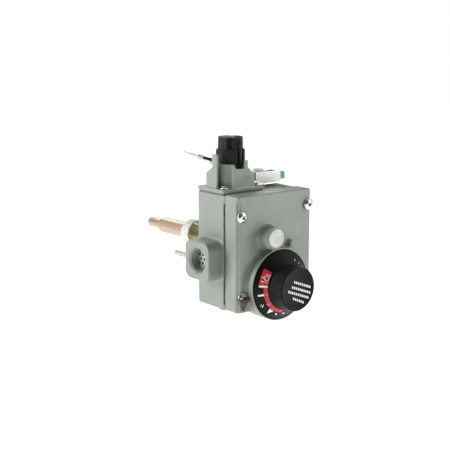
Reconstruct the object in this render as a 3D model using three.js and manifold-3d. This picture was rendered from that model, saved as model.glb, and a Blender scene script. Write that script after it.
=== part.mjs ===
// A water-heater gas control valve, as an assembly of separate pieces.
//
// Body frame, in millimetres: x runs from the casting's left face to the right, y from the front cover's
// face back towards the tank, z up from the casting's underside. The exported group is shifted so that its
// origin is where the thermostat shank meets the tank, on the shank's axis, with +Y into the tank.
import * as THREE from "three";
import { mergeVertices } from "three/addons/utils/BufferGeometryUtils.js";
import Module from "manifold-3d";

const wasm = await Module();
wasm.setup();

// ------------------------------------------------ driving dimensions

const SEAT = 0.1; // gap left between two pieces that rest on each other
const RUN = 0.35; // gap round a piece that turns or slides

const WIDTH = 72; // the casting and its cover
const COVER_HEIGHT = 88;
const COVER_DEPTH = 15.9;
const COVER_WALL = 3.5;
const SIDE_WALL = 4;
const BODY_FRONT = 17.2;
const BODY_BACK = 48;
const BODY_TOP = 87.2;
const CHAMBER_BACK = 22; // back wall of the thermostat chamber inside the body

const PORT = { y: 31.9, z: 37.3, boss: 29.4, reach: 14, bore: 8.6, mouth: 10.6 };
const OUTLET = { x: 52, y: 32.2, boss: 14.5, drop: 4.5, bore: 8.6, mouth: 10.4 };
const PILOT = { x: 14, y: 32, bore: 3.7 };
const THERMOCOUPLE = { x: 29, y: 32, bore: 3.7 };

const DIAL = { x: 35.7, z: 19, bezel: 27.8, recess: 26.9, lip: -7, floor: -1 };
const DIAL_SKIRT = { outer: 26.3, inner: 17.3, back: -5.4, edge: -7, cone: -14 };
const DIAL_GRIP = { radius: 16.85, front: -26.5 };
const DIAL_STEM = { radius: 2.6, front: -21.9, back: 14 };

const REGULATOR = { x: 27.8, z: 55.8, boss: 8.8, front: -10, bore: 6.3, cap: 7.3 };
const DIAPHRAGM = { bore: 12.1, wall: 13.6, back: 7.7 }; // the regulator's chamber inside the cover
const TEST_PORT = { x: 50.7, z: 48 };
const COVER_SCREWS = [
  { x: 3.2, z: 73 },
  { x: 69, z: 76 },
  { x: 4, z: 12 },
  { x: 67.6, z: 12 },
];
const COVER_SCREW = { head: 4.4, shank: 1.6, length: 27 };
const CAVITY = { left: 6, right: 66, bottom: 6, top: 80 }; // the casting's hollow behind the cover
const VALVE_GALLERY_Z = 79; // height of the cross passage from the inlet to the gas cock
const THERMOSTAT_FEED_Z = 61; // height of the passage from the gas cock to the thermostat chamber

const PROBE = { x: 28, z: 44.8, radius: 6.35, wall: 0.8, tip: 4, step: 134, end: 152 };
const SHANK = {
  thread: 9.5,
  rear: 8.6, // the round end that carries the pipe thread
  hex: 18,
  boss: 14,
  bossBack: 60,
  shelf: 62, // where the probe tube's front end rests inside the shank
  front: 43,
  collarFront: 85.6,
  collarBack: 96,
  collar: 10.65,
};
const STUD = { x: 6, z: 32.2, radius: 2.5, front: 41.2, end: 84.8 };

const COCK = { x: 19, y: 32.5 }; // axis of the gas cock, its knob and the pilot safety valve
const FLANGE = { right: 40, front: 17.5, back: 48.6, bottom: 88.1, top: 91.2 };
const HOUSING_SCREWS = [
  { x: 3.6, y: 20.8 },
  { x: 35.6, y: 22.5 },
  { x: 35.6, y: 42.5 },
];
const TOWER = {
  left: 1,
  right: 30.8,
  front: 18,
  back: 46.6,
  wall: 1.8, // thickness of the left lug and of the well's round wall
  well: 98.4, // floor of the well that the knob turns in
  low: 109,
  shoulder: 101.8,
};
const KNOB = { skirt: 11, grip: 9.6, bottom: 103, waist: 119.5, top: 128.5, rib: 129.5, pointer: 12.8 };
const POINTER_ANGLE = -84; // degrees from +X, seen from above, with the knob at rest
const PUSH = 3.5; // travel of the gas knob when it is pressed

const CASE = { left: 42, right: 67.7, front: 30, back: 40, bottom: 89.6, top: 99 };
const PLUNGER = { end: 73.6, bottom: 91.6, top: 97.4, front: 31.6, back: 38.4 };
const HAMMER_AXIS = [35, 94.4]; // y and z of the igniter's hammer and its spring
const LEAD_RADIUS = 1.2;
const CLIP = { x: [13.6, 18.6], wall: 0.8, bottom: 93.4, top: 110.8, screwZ: 97 };

// ------------------------------------------------ solids

function radians(degrees) {
  return (degrees * Math.PI) / 180;
}

// Six times the signed volume that a triangle mesh encloses.
function signedVolume(vertices, triangles) {
  const [a, b, c] = [new THREE.Vector3(), new THREE.Vector3(), new THREE.Vector3()];
  let total = 0;
  for (let i = 0; i < triangles.length; i += 3) {
    a.fromArray(vertices, 3 * triangles[i]);
    b.fromArray(vertices, 3 * triangles[i + 1]);
    c.fromArray(vertices, 3 * triangles[i + 2]);
    total += a.dot(b.cross(c));
  }
  return total;
}

// Turns closed three.js geometry into a manifold solid whose faces point out.
function toSolid(geometry) {
  const bare = geometry.clone();
  bare.deleteAttribute("normal");
  bare.deleteAttribute("uv");
  const merged = mergeVertices(bare, 1e-4);
  const vertices = Float32Array.from(merged.attributes.position.array);
  const triangles = [];
  for (let i = 0; i < merged.index.count; i += 3) {
    const [a, b, c] = [0, 1, 2].map((k) => merged.index.getX(i + k));
    if (a !== b && b !== c && c !== a) {
      triangles.push(a, b, c);
    }
  }
  if (signedVolume(vertices, triangles) < 0) {
    triangles.reverse();
  }
  const triVerts = Uint32Array.from(triangles);
  return new wasm.Manifold(new wasm.Mesh({ numProp: 3, vertProperties: vertices, triVerts }));
}

function join(...solids) {
  return solids.reduce((whole, next) => whole.add(next));
}

function cut(solid, ...tools) {
  return tools.reduce((rest, tool) => rest.subtract(tool), solid);
}

function toGeometry(solid) {
  const mesh = solid.getMesh();
  const geometry = new THREE.BufferGeometry();
  geometry.setAttribute("position", new THREE.BufferAttribute(new Float32Array(mesh.vertProperties), 3));
  geometry.setIndex(new THREE.BufferAttribute(new Uint32Array(mesh.triVerts), 1));
  geometry.computeVertexNormals();
  return geometry;
}

function block([x0, x1], [y0, y1], [z0, z1]) {
  const geometry = new THREE.BoxGeometry(x1 - x0, y1 - y0, z1 - z0);
  geometry.translate((x0 + x1) / 2, (y0 + y1) / 2, (z0 + z1) / 2);
  return toSolid(geometry);
}

// Turns geometry built along +Y so that it lies along the named axis.
function alongAxis(geometry, axis) {
  if (axis === "z") {
    geometry.rotateX(Math.PI / 2);
  }
  if (axis === "x") {
    geometry.rotateZ(-Math.PI / 2);
  }
  return geometry;
}

// The two coordinates that fix an axis: (y, z) for x, (x, z) for y and (x, y) for z.
function shifted(geometry, axis, [a, b]) {
  const offsets = { x: [0, a, b], y: [a, 0, b], z: [a, b, 0] };
  geometry.translate(...offsets[axis]);
  return geometry;
}

function rod(axis, centre, radius, [from, to], sides = 20) {
  const geometry = new THREE.CylinderGeometry(radius, radius, to - from, sides);
  geometry.translate(0, (from + to) / 2, 0);
  return toSolid(shifted(alongAxis(geometry, axis), axis, centre));
}

function hexRod(axis, centre, acrossFlats, span) {
  return rod(axis, centre, acrossFlats / Math.sqrt(3), span, 6);
}

function pipe(axis, centre, outer, inner, [from, to], sides = 24) {
  const bore = rod(axis, centre, inner, [from - 1, to + 1], sides);
  return cut(rod(axis, centre, outer, [from, to], sides), bore);
}

// A turned piece. The profile is a list of [radius, place along the axis].
function turned(axis, centre, profile, sides = 24) {
  const points = profile.map(([radius, place]) => new THREE.Vector2(radius, place));
  const geometry = new THREE.LatheGeometry(points, sides);
  return toSolid(shifted(alongAxis(geometry, axis), axis, centre));
}

// A flat outline pushed through along an axis, with an optional bevel kept inside the span.
function plate(axis, outline, [from, to], bevel = 0) {
  const geometry = new THREE.ExtrudeGeometry(outline, {
    depth: to - from - 2 * bevel,
    bevelEnabled: bevel > 0,
    bevelThickness: bevel,
    bevelSize: bevel,
    bevelOffset: -bevel,
    bevelSegments: 1,
    curveSegments: 4,
  });
  geometry.translate(0, 0, bevel);
  const place = new THREE.Matrix4();
  if (axis === "x") {
    place.makeBasis(new THREE.Vector3(0, 1, 0), new THREE.Vector3(0, 0, 1), new THREE.Vector3(1, 0, 0));
    place.setPosition(from, 0, 0);
  }
  if (axis === "y") {
    place.makeBasis(new THREE.Vector3(1, 0, 0), new THREE.Vector3(0, 0, 1), new THREE.Vector3(0, -1, 0));
    place.setPosition(0, to, 0);
  }
  if (axis === "z") {
    place.setPosition(0, 0, from);
  }
  geometry.applyMatrix4(place);
  return toSolid(geometry);
}

function roundedOutline([a0, a1], [b0, b1], radius) {
  const shape = new THREE.Shape();
  shape.absarc(a1 - radius, b1 - radius, radius, 0, Math.PI / 2);
  shape.absarc(a0 + radius, b1 - radius, radius, Math.PI / 2, Math.PI);
  shape.absarc(a0 + radius, b0 + radius, radius, Math.PI, 1.5 * Math.PI);
  shape.absarc(a1 - radius, b0 + radius, radius, 1.5 * Math.PI, 2 * Math.PI);
  shape.closePath();
  return shape;
}

function polygon(points) {
  return new THREE.Shape(points.map(([a, b]) => new THREE.Vector2(a, b)));
}

function circleOutline(radius, sides) {
  const angles = Array.from({ length: sides }, (_, i) => (2 * Math.PI * i) / sides);
  return polygon(angles.map((angle) => [radius * Math.cos(angle), radius * Math.sin(angle)]));
}

class Helix extends THREE.Curve {
  constructor(radius, height, turns) {
    super();
    Object.assign(this, { radius, height, turns });
  }
  getPoint(t, target = new THREE.Vector3()) {
    const angle = 2 * Math.PI * this.turns * t;
    return target.set(this.radius * Math.cos(angle), this.height * t, this.radius * Math.sin(angle));
  }
}

// A coil spring that fills the span along its axis, wire included.
function spring(axis, centre, radius, wire, [from, to], turns) {
  const geometry = new THREE.ExtrudeGeometry(circleOutline(wire, 4), {
    steps: 6 * turns,
    extrudePath: new Helix(radius, to - from - 2.4 * wire, turns),
    bevelEnabled: false,
  });
  geometry.translate(0, from + 1.2 * wire, 0);
  return toSolid(shifted(alongAxis(geometry, axis), axis, centre));
}

function tubeAlong(points, radius, steps) {
  const path = new THREE.CatmullRomCurve3(points.map((p) => new THREE.Vector3(...p)));
  const geometry = new THREE.ExtrudeGeometry(circleOutline(radius, 8), {
    steps,
    extrudePath: path,
    bevelEnabled: false,
  });
  return toSolid(geometry);
}

// ------------------------------------------------ materials

function finish(color, roughness, metalness = 0) {
  return new THREE.MeshStandardMaterial({ color, roughness, metalness });
}

const castMetal = finish(0x92988f, 0.55, 0.6);
const zinc = finish(0xc9c9c4, 0.3, 0.9);
const brightSteel = finish(0xd6d7d0, 0.35, 0.8);
const steel = finish(0x8f9294, 0.4, 0.9);
const brass = finish(0x8a7a3c, 0.35, 0.9);
const copper = finish(0xbe9a78, 0.45, 0.8);
const blackPlastic = finish(0x161718, 0.45);
const darkRubber = finish(0x2c2e2f, 0.9);
const whiteSealant = finish(0xe9e9e2, 0.8);
const greenPlastic = finish(0x3fae92, 0.4);
const sealPaint = finish(0x68443c, 0.6);
const palePlastic = finish(0xd2d4cf, 0.6);
const wireJacket = finish(0x101112, 0.5);

// ------------------------------------------------ casting and cover

const valve = new THREE.Group();
valve.name = "gas_control_valve";
valve.position.set(-PROBE.x, -SHANK.collarFront, -PROBE.z);

function addPart(name, solid, material) {
  const mesh = new THREE.Mesh(toGeometry(solid), material);
  mesh.name = name;
  valve.add(mesh);
}

const probeAxis = [PROBE.x, PROBE.z];
const cockAxis = [COCK.x, COCK.y];
const dialAxis = [DIAL.x, DIAL.z];
const regulatorAxis = [REGULATOR.x, REGULATOR.z];
const clipScrew = [(CLIP.x[0] + CLIP.x[1]) / 2, CLIP.screwZ];
const portAxis = [PORT.y, PORT.z];
const outletAxis = [OUTLET.x, OUTLET.y];
const studAxis = [STUD.x, STUD.z];

// The four raised corners on the casting that the cover's corners bear on.
function cornerPads(grow) {
  const pads = [];
  for (const [x0, x1] of [[0.4, 2.4], [WIDTH - 2.4, WIDTH - 0.4]]) {
    for (const [z0, z1] of [[1, 4], [81, BODY_TOP - 0.6]]) {
      const depth = [COVER_DEPTH + SEAT, BODY_FRONT + 1];
      pads.push(block([x0 - grow, x1 + grow], depth, [z0 - grow, z1 + grow]));
    }
  }
  return join(...pads);
}

// A pipe port: a bore from `start` to `end` that opens out to `mouth` over its first `lead` millimetres.
function portBore(axis, centre, { bore, mouth }, start, end, lead) {
  const inner = start + lead;
  const opening = [[0, start - 1], [mouth, start - 1], [mouth, start], [bore, inner], [0, inner]];
  return join(rod(axis, centre, bore, [start, end]), turned(axis, centre, opening));
}

// The stepped hole down the middle of the gas cock: plug taper, valve seat, safety valve chamber.
const SAFETY = { top: 70.5, discTop: 70.3, armature: 64.9, bottom: 56, bore: 7.9 };
const PLUG = { top: 86.6, bottom: 73, topRadius: 8, bottomRadius: 7.3 };

function cockBore() {
  const { top, bottom, topRadius, bottomRadius } = PLUG;
  const taper = [
    [0, bottom],
    [bottomRadius + SEAT, bottom],
    [topRadius + SEAT, top],
    [topRadius + SEAT, BODY_TOP + 1],
    [0, BODY_TOP + 1],
  ];
  return join(
    turned("z", cockAxis, taper),
    rod("z", cockAxis, 4, [SAFETY.top - 1, bottom + 1]),
    rod("z", cockAxis, SAFETY.bore, [SAFETY.bottom, SAFETY.top]),
  );
}

// The lever rocks on a pin held in two posts, one below it and one above.
const LEVER = { pivotX: 16, pivotY: 18.5, bottom: 40, top: 46, front: 18, back: 19 };
const MAIN_VALVE = { x: 52, z: 42, radius: 7, front: 16, back: 29 };

function leverPosts() {
  const across = [LEVER.pivotX - 2.2, LEVER.pivotX + 2.2];
  const depth = [LEVER.pivotY - 1.9, CHAMBER_BACK + 1];
  return join(block(across, depth, [34, 39]), block(across, depth, [47, 52]));
}

function makeValveBody() {
  const casting = plate("y", roundedOutline([0, WIDTH], [0, BODY_TOP], 1.2), [BODY_FRONT, BODY_BACK], 0.8);
  const half = PORT.boss / 2;
  const bossY = [BODY_FRONT, BODY_FRONT + PORT.boss];
  const bossZ = [PORT.z - half, PORT.z + half];
  const portBoss = plate("x", roundedOutline(bossY, bossZ, 7), [-PORT.reach, 3], 1.2);
  const outside = join(
    casting,
    portBoss,
    rod("y", probeAxis, SHANK.boss, [BODY_BACK - 2, SHANK.bossBack], 28),
    rod("z", outletAxis, OUTLET.boss, [-OUTLET.drop, 2], 28),
    rod("z", [PILOT.x, PILOT.y], 6.5, [-1.5, 2], 24),
    rod("z", [THERMOCOUPLE.x, THERMOCOUPLE.y], 6.5, [-1.5, 2], 24),
    rod("y", studAxis, 4.6, [BODY_BACK - 2, BODY_BACK + 4], 20),
    cornerPads(0),
  );
  const pockets = [[36, 49], [53, 66]].map((x) => block(x, [34, BODY_BACK + 1], [62, CAVITY.top]));
  const hollow = join(
    block([CAVITY.left, CAVITY.right], [BODY_FRONT - 0.5, CHAMBER_BACK], [CAVITY.bottom, CAVITY.top]),
    portBore("x", portAxis, PORT, -PORT.reach, 9, 1.8),
    portBore("z", outletAxis, OUTLET, -OUTLET.drop, 50, 1.6),
    cockBore(),
    rod("z", [7.5, PORT.y], 3.5, [PORT.z, VALVE_GALLERY_Z + 1], 16),
    rod("x", [PORT.y, VALVE_GALLERY_Z], 2.6, [7.5, 12], 16),
    rod("y", [COCK.x, THERMOSTAT_FEED_Z], 3, [CHAMBER_BACK - 1, COCK.y], 16),
    rod("y", probeAxis, SHANK.thread + SEAT, [40, SHANK.bossBack + 1], 28),
    rod("y", probeAxis, 5, [CHAMBER_BACK - 1, 41], 24),
    rod("y", [MAIN_VALVE.x, MAIN_VALVE.z], 5, [CHAMBER_BACK - 1, OUTLET.y], 24),
    rod("z", [PILOT.x, PILOT.y], PILOT.bore, [-2, 12], 20),
    rod("z", [THERMOCOUPLE.x, THERMOCOUPLE.y], THERMOCOUPLE.bore, [-2, 12], 20),
    rod("y", studAxis, STUD.radius + SEAT, [STUD.front - 0.2, BODY_BACK + 5], 20),
    ...pockets,
    ...COVER_SCREWS.map(({ x, z }) => rod("y", [x, z], 1.75, [BODY_FRONT - 2, 30], 12)),
    ...HOUSING_SCREWS.map(({ x, y }) => rod("z", [x, y], 1.65, [80.5, BODY_TOP + 1], 12)),
  );
  const posts = cut(leverPosts(), rod("z", [LEVER.pivotX, LEVER.pivotY], 1.02, [33, 53], 16));
  return join(cut(outside, hollow), posts);
}

function makeCoverGasket() {
  const edge = 1.2;
  const outline = roundedOutline([edge, WIDTH - edge], [edge, BODY_TOP - edge], 2);
  const sheet = plate("y", outline, [COVER_DEPTH + SEAT, BODY_FRONT - SEAT]);
  const through = [COVER_DEPTH - 1, BODY_FRONT + 1];
  const { left, right, bottom, top } = CAVITY;
  const window = block([left + 0.4, right - 0.4], through, [bottom + 0.4, top - 0.4]);
  const holes = COVER_SCREWS.map(({ x, z }) => rod("y", [x, z], 2, through, 12));
  return cut(sheet, window, cornerPads(0.3), ...holes);
}

// The concave flute down the left front corner, which stops short of the top.
function cornerFlute() {
  return rod("z", [-0.9, -0.9], 3.4, [-20, COVER_HEIGHT - 3], 28);
}

function makeFrontCover() {
  const shell = plate("y", roundedOutline([0, WIDTH], [0, COVER_HEIGHT], 2), [0, COVER_DEPTH], 0.8);
  const bezel = rod("y", dialAxis, DIAL.bezel, [DIAL.lip, 9], 44);
  const insideX = [SIDE_WALL, WIDTH - SIDE_WALL];
  const insideZ = [SIDE_WALL, COVER_HEIGHT - SIDE_WALL];
  const cavity = block(insideX, [COVER_WALL, COVER_DEPTH + 1], insideZ);
  const postDepth = [COVER_WALL - 0.5, COVER_DEPTH];
  const posts = COVER_SCREWS.map(({ x, z }) => rod("y", [x, z], 5, postDepth, 24));
  const postLimits = block([0.6, WIDTH - 0.6], postDepth, [0.6, COVER_HEIGHT - 0.6]);
  const inner = join(
    join(...posts).intersect(postLimits),
    rod("y", dialAxis, 7, [2, 9], 24),
    rod("y", regulatorAxis, DIAPHRAGM.wall, [COVER_WALL - 0.5, DIAPHRAGM.back + 0.9], 28),
    rod("y", regulatorAxis, REGULATOR.boss, [REGULATOR.front, 2], 28),
  );
  return cut(
    join(cut(join(shell, bezel), cavity, cornerFlute()), inner),
    rod("y", dialAxis, DIAL.recess, [DIAL.lip - 1, DIAL.floor], 44),
    rod("y", dialAxis, 4.5 + SEAT, [-3, 10], 24),
    rod("y", regulatorAxis, REGULATOR.bore, [REGULATOR.front - 1, COVER_WALL + 1], 24),
    rod("y", regulatorAxis, DIAPHRAGM.bore, [COVER_WALL, 9], 28),
    rod("y", [TEST_PORT.x, TEST_PORT.z], 1.8, [-3, 5], 16),
    ...COVER_SCREWS.map(({ x, z }) => rod("y", [x, z], 2, [-2, COVER_DEPTH + 1], 16)),
  );
}

// A pan-head screw with a hexagon socket, pointing away from `seat` in the direction `sense`.
function panScrew(axis, centre, head, shank, seat, sense, length) {
  const height = 0.62 * head;
  const profile = [
    [0, seat - sense * height],
    [0.5 * head, seat - sense * height],
    [0.8 * head, seat - sense * 0.78 * height],
    [head, seat - sense * 0.3 * height],
    [head, seat],
    [shank, seat],
    [shank, seat + sense * (length - shank)],
    [0, seat + sense * length],
  ];
  const socket = [seat - sense * (height + 1), seat - sense * 0.42 * height].sort((a, b) => a - b);
  return cut(turned(axis, centre, profile, 14), hexRod(axis, centre, 0.72 * head, socket));
}

function makeTamperSeal() {
  const outline = polygon([[0.9, 10.4], [1.4, 7.4], [4.2, 1.9], [5.2, 1.9], [7.7, 7.4], [8.2, 10.4]]);
  const { x, z } = COVER_SCREWS[2];
  const headRoom = rod("y", [x, z], COVER_SCREW.head + 0.3, [-4, 1], 24);
  return cut(plate("y", outline, [-1.7, -SEAT], 0.4), headRoom, cornerFlute());
}

addPart("valve_body", makeValveBody(), castMetal);
addPart("cover_gasket", makeCoverGasket(), darkRubber);
addPart("front_cover", makeFrontCover(), castMetal);
COVER_SCREWS.forEach(({ x, z }, i) => {
  const { head, shank, length } = COVER_SCREW;
  addPart(`cover_screw_${i + 1}`, panScrew("y", [x, z], head, shank, -SEAT, 1, length), zinc);
});
addPart("tamper_seal", makeTamperSeal(), sealPaint);

// ------------------------------------------------ pressure regulator, in the small round boss

const ADJUSTER = { front: -6.2, back: -4 };
const PLATE = { front: 6.2, back: 7, radius: 5.4 }; // the disc that the regulator spring bears on

function makeRegulatorCap() {
  const { cap, bore, front } = REGULATOR;
  const seat = front - SEAT;
  const thread = bore - SEAT;
  const profile = [
    [0, seat - 1.1],
    [cap - 0.5, seat - 1],
    [cap, seat - 0.5],
    [cap, seat],
    [thread, seat],
    [thread, ADJUSTER.front - 0.4],
    [0, ADJUSTER.front - 0.4],
  ];
  return turned("y", regulatorAxis, profile);
}

function makeRegulatorAdjuster() {
  const { front, back } = ADJUSTER;
  const { x, z, bore } = REGULATOR;
  const disc = rod("y", regulatorAxis, bore - SEAT, [front, back], 28);
  return cut(disc, block([x - 4, x + 4], [front - 1, front + 1], [z - 0.6, z + 0.6]));
}

function makeDiaphragm() {
  const front = PLATE.back + SEAT;
  const { back } = DIAPHRAGM;
  const rim = DIAPHRAGM.bore - 0.4;
  const profile = [
    [0, front],
    [6.4, front],
    [7.6, front - 0.9],
    [9, front - 0.9],
    [10, front],
    [rim, front],
    [rim, back],
    [9.7, back],
    [8.7, back - 0.9],
    [7.9, back - 0.9],
    [6.7, back],
    [0, back],
  ];
  return turned("y", regulatorAxis, profile, 20);
}

addPart("regulator_cap", makeRegulatorCap(), brightSteel);
addPart("regulator_adjuster", makeRegulatorAdjuster(), brass);
const regulatorSpringSpan = [ADJUSTER.back + SEAT, PLATE.front - SEAT];
addPart("regulator_spring", spring("y", regulatorAxis, 4.2, 0.45, regulatorSpringSpan, 5), steel);
const platePiece = rod("y", regulatorAxis, PLATE.radius, [PLATE.front, PLATE.back], 24);
addPart("diaphragm_plate", platePiece, brightSteel);
addPart("regulator_diaphragm", makeDiaphragm(), darkRubber);

function makeTestPlug() {
  const profile = [[0, -4], [1.6, -4], [2.6, -3.2], [2.8, -2], [2.8, -SEAT], [1.7, -SEAT], [1.7, 4], [0, 4]];
  return turned("y", [TEST_PORT.x, TEST_PORT.z], profile, 20);
}

addPart("test_port_plug", makeTestPlug(), castMetal);

// ------------------------------------------------ temperature dial

function makeTemperatureDial() {
  const { outer, inner, back, edge, cone } = DIAL_SKIRT;
  const { radius, front } = DIAL_GRIP;
  const profile = [
    [0, front],
    [radius - 0.9, front],
    [radius, front + 0.9],
    [radius, cone],
    [inner, cone],
    [outer, edge],
    [outer, back],
    [outer - 1.6, back],
    [inner - 1.6, cone + 2.2],
    [radius - 2, cone + 1.6],
    [radius - 2, front + 2.2],
    [5.2, front + 2.2],
    [5.2, -4],
    [DIAL_STEM.radius + SEAT, -4],
    [DIAL_STEM.radius + SEAT, DIAL_STEM.front - SEAT],
    [0, DIAL_STEM.front - SEAT],
  ];
  return turned("y", dialAxis, profile, 36);
}

function makeDialStem() {
  const { radius, front, back } = DIAL_STEM;
  return join(rod("y", dialAxis, radius, [front, back], 20), rod("y", dialAxis, 3.6, [10, 12], 20));
}

function makeDialBushing() {
  const bore = DIAL_STEM.radius + SEAT;
  const [front, back] = [-2.4, 9.6];
  const head = DIAL.floor - SEAT;
  const profile = [
    [bore, front],
    [6.2, front],
    [6.2, head],
    [4.5, head],
    [4.5, back],
    [bore, back],
    [bore, front],
  ];
  return turned("y", dialAxis, profile, 24);
}

addPart("temperature_dial", makeTemperatureDial(), blackPlastic);
addPart("dial_stem", makeDialStem(), brass);
addPart("dial_bushing", makeDialBushing(), brass);

// ------------------------------------------------ gas cock: housing, knob, plug, safety valve

const wellRadius = KNOB.skirt + 1.1;

// A vertical wall section of the tower, drawn from the left or the front and pushed through its thickness.
function leftWing() {
  const { left, back, shoulder, wall } = TOWER;
  const side = polygon([
    [24, FLANGE.bottom + 1],
    [38.9, FLANGE.bottom + 1],
    [38.9, shoulder],
    [32, 106.8],
    [32, 115.8],
    [30.8, 116.4],
    [25.2, 116.4],
    [24, 115.2],
  ]);
  const lug = plate("x", side, [left, left + wall]);
  const rear = polygon([[left, 38], [COCK.x, 38], [COCK.x, back], [8.6, back], [left, 39]]);
  return join(lug, plate("z", rear, [FLANGE.bottom + 1, shoulder]));
}

function frontWing() {
  const { front, right, low, shoulder } = TOWER;
  const face = polygon([
    [11, FLANGE.bottom + 1],
    [right, FLANGE.bottom + 1],
    [right - 1.4, shoulder],
    [24.4, 106.4],
    [24.4, 110.6],
    [23.6, 111.4],
    [21.4, 111.4],
    [20.9, 110.6],
    [20.9, 105.6],
    [13.2, 105.6],
    [11, low],
  ]);
  return plate("y", face, [front, 25]);
}

// The round wall of the well where it shows between the left lug and the front wing.
function wellWall() {
  const tube = rod("z", cockAxis, wellRadius + TOWER.wall, [FLANGE.bottom + 1, TOWER.low], 36);
  return tube.intersect(block([TOWER.left + 1, 13.2], [TOWER.front, 33], [FLANGE.bottom, TOWER.low + 1]));
}

// The open corner in front of that wall. It leaves the lug and the wing standing as thin walls.
function cornerHollow() {
  const { left, front, wall } = TOWER;
  const open = block([left - 2, 11], [front - 2, 26.4], [FLANGE.top, 130]);
  const behindLug = block([left + wall, 11], [26, 33], [FLANGE.top, 130]);
  return cut(join(open, behindLug), rod("z", cockAxis, wellRadius + wall, [FLANGE.bottom, 131], 36));
}

// The sector of the well that the knob's pointer sweeps, as a wedge seen from above.
function pointerTrack() {
  const [start, end] = [POINTER_ANGLE - 9, POINTER_ANGLE + 192].map(radians);
  const wedge = new THREE.Shape();
  wedge.moveTo(COCK.x, COCK.y);
  wedge.absarc(COCK.x, COCK.y, KNOB.pointer + 0.6, start, end);
  wedge.closePath();
  return plate("z", wedge, [TOWER.well, 120]);
}

function makeCockHousing() {
  const { left, right, front, back, well, shoulder } = TOWER;
  const plan = roundedOutline([0, FLANGE.right], [FLANGE.front, FLANGE.back], 1.2);
  const flange = plate("z", plan, [FLANGE.bottom, FLANGE.top], 0.4);
  const base = polygon([
    [11, front],
    [right, front],
    [right, 39],
    [24, back],
    [8.6, back],
    [left, 38.9],
    [left, 24],
  ]);
  const mass = join(
    flange,
    plate("z", base, [FLANGE.bottom + 1, shoulder]),
    leftWing(),
    frontWing(),
    wellWall(),
  );
  return cut(
    mass,
    cornerHollow(),
    rod("z", cockAxis, wellRadius, [well, 130], 28),
    pointerTrack(),
    rod("z", cockAxis, 4.3, [FLANGE.bottom - 1, well + 1], 24),
    rod("z", cockAxis, 7.4, [FLANGE.bottom - 1, 94.6], 24),
    rod("y", clipScrew, 1.05, [40, back + 1], 12),
    ...HOUSING_SCREWS.map(({ x, y }) => rod("z", [x, y], 1.9, [FLANGE.bottom - 1, FLANGE.top + 1], 16)),
  );
}

function makeHousingGasket() {
  const outline = roundedOutline([0.1, FLANGE.right - 0.8], [FLANGE.front + 0.6, BODY_BACK - 0.9], 1);
  const sheet = plate("z", outline, [BODY_TOP + SEAT, FLANGE.bottom - SEAT]);
  const through = [BODY_TOP - 1, FLANGE.bottom + 1];
  const holes = HOUSING_SCREWS.map(({ x, y }) => rod("z", [x, y], 2, through, 12));
  return cut(sheet, rod("z", cockAxis, 8.4, through, 24), ...holes);
}

addPart("gas_cock_housing", makeCockHousing(), castMetal);
addPart("housing_gasket", makeHousingGasket(), darkRubber);

const BRACKET_THICKNESS = 0.9;
HOUSING_SCREWS.forEach(({ x, y }, i) => {
  const onBracket = i === 1 ? BRACKET_THICKNESS + SEAT : 0;
  const seat = FLANGE.top + SEAT + onBracket;
  addPart(`housing_screw_${i + 1}`, panScrew("z", [x, y], 3.1, 1.5, seat, -1, 10), zinc);
});

function turnedAboutCock(solid, degrees) {
  return solid.translate([-COCK.x, -COCK.y, 0]).rotate([0, 0, degrees]).translate([COCK.x, COCK.y, 0]);
}

const SLOT_HALF_WIDTH = 2.2; // finger slots round the knob's grip

function makeGasKnob() {
  const { skirt, grip, bottom, waist, top, rib, pointer } = KNOB;
  const { x, y } = COCK;
  const profile = [
    [3.1, bottom + 4],
    [4.4, bottom + 4],
    [4.4, waist - 2.6],
    [skirt - 2, waist - 2.6],
    [skirt - 2, bottom],
    [skirt, bottom],
    [skirt, waist - 0.8],
    [skirt - 0.8, waist],
    [grip, waist],
    [grip - 0.3, top - 0.6],
    [grip - 0.9, top],
    [0, top],
    [0, top - 3],
    [3.1, top - 3],
    [3.1, bottom + 4],
  ];
  const bar = block([x + skirt - 3.6, x + skirt + 0.3], [y - 1.1, y + 1.1], [bottom + 2, rib - 3.5]);
  const bump = block([x + 6, x + skirt - 1], [y - 1.5, y + 1.5], [top - 2, rib]);
  const footOutline = polygon([
    [x + skirt - 1.2, y - 2.1],
    [x + pointer - 0.8, y - 1.2],
    [x + pointer, y],
    [x + pointer - 0.8, y + 1.2],
    [x + skirt - 1.2, y + 2.1],
  ]);
  const foot = plate("z", footOutline, [bottom, bottom + 4.5]);
  const pointerRib = turnedAboutCock(join(bar, bump, foot), POINTER_ANGLE);
  const slotWidth = [y - SLOT_HALF_WIDTH, y + SLOT_HALF_WIDTH];
  const slot = block([x + grip - 2.4, x + grip + 3], slotWidth, [waist + 1, top + 1]);
  const slots = [-132, -48, 48, 132].map((turn) => turnedAboutCock(slot, POINTER_ANGLE + turn));
  return join(cut(turned("z", cockAxis, profile, 28), ...slots), pointerRib);
}

const STEM = 1.5; // radius of the thin part of the knob's stem
const STEM_STEP = 99.5; // where the stem steps up to the size of the knob's bore

function makeKnobStem() {
  const bottom = SAFETY.discTop + 0.3;
  const end = KNOB.top - 3.1;
  const profile = [[0, bottom], [STEM, bottom], [STEM, STEM_STEP], [3, STEM_STEP], [3, end], [0, end]];
  return turned("z", cockAxis, profile, 20);
}

function makeCockPlug() {
  const { top, bottom, topRadius, bottomRadius } = PLUG;
  const bore = STEM + RUN;
  const low = bottom + 0.3;
  const cone = [[bore, low], [bottomRadius, low], [topRadius, top], [bore, top], [bore, low]];
  const hole = rod("x", [COCK.y, VALVE_GALLERY_Z], 2.4, [COCK.x - 10, COCK.x], 16);
  return cut(turned("z", cockAxis, cone, 24), hole);
}

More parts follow.
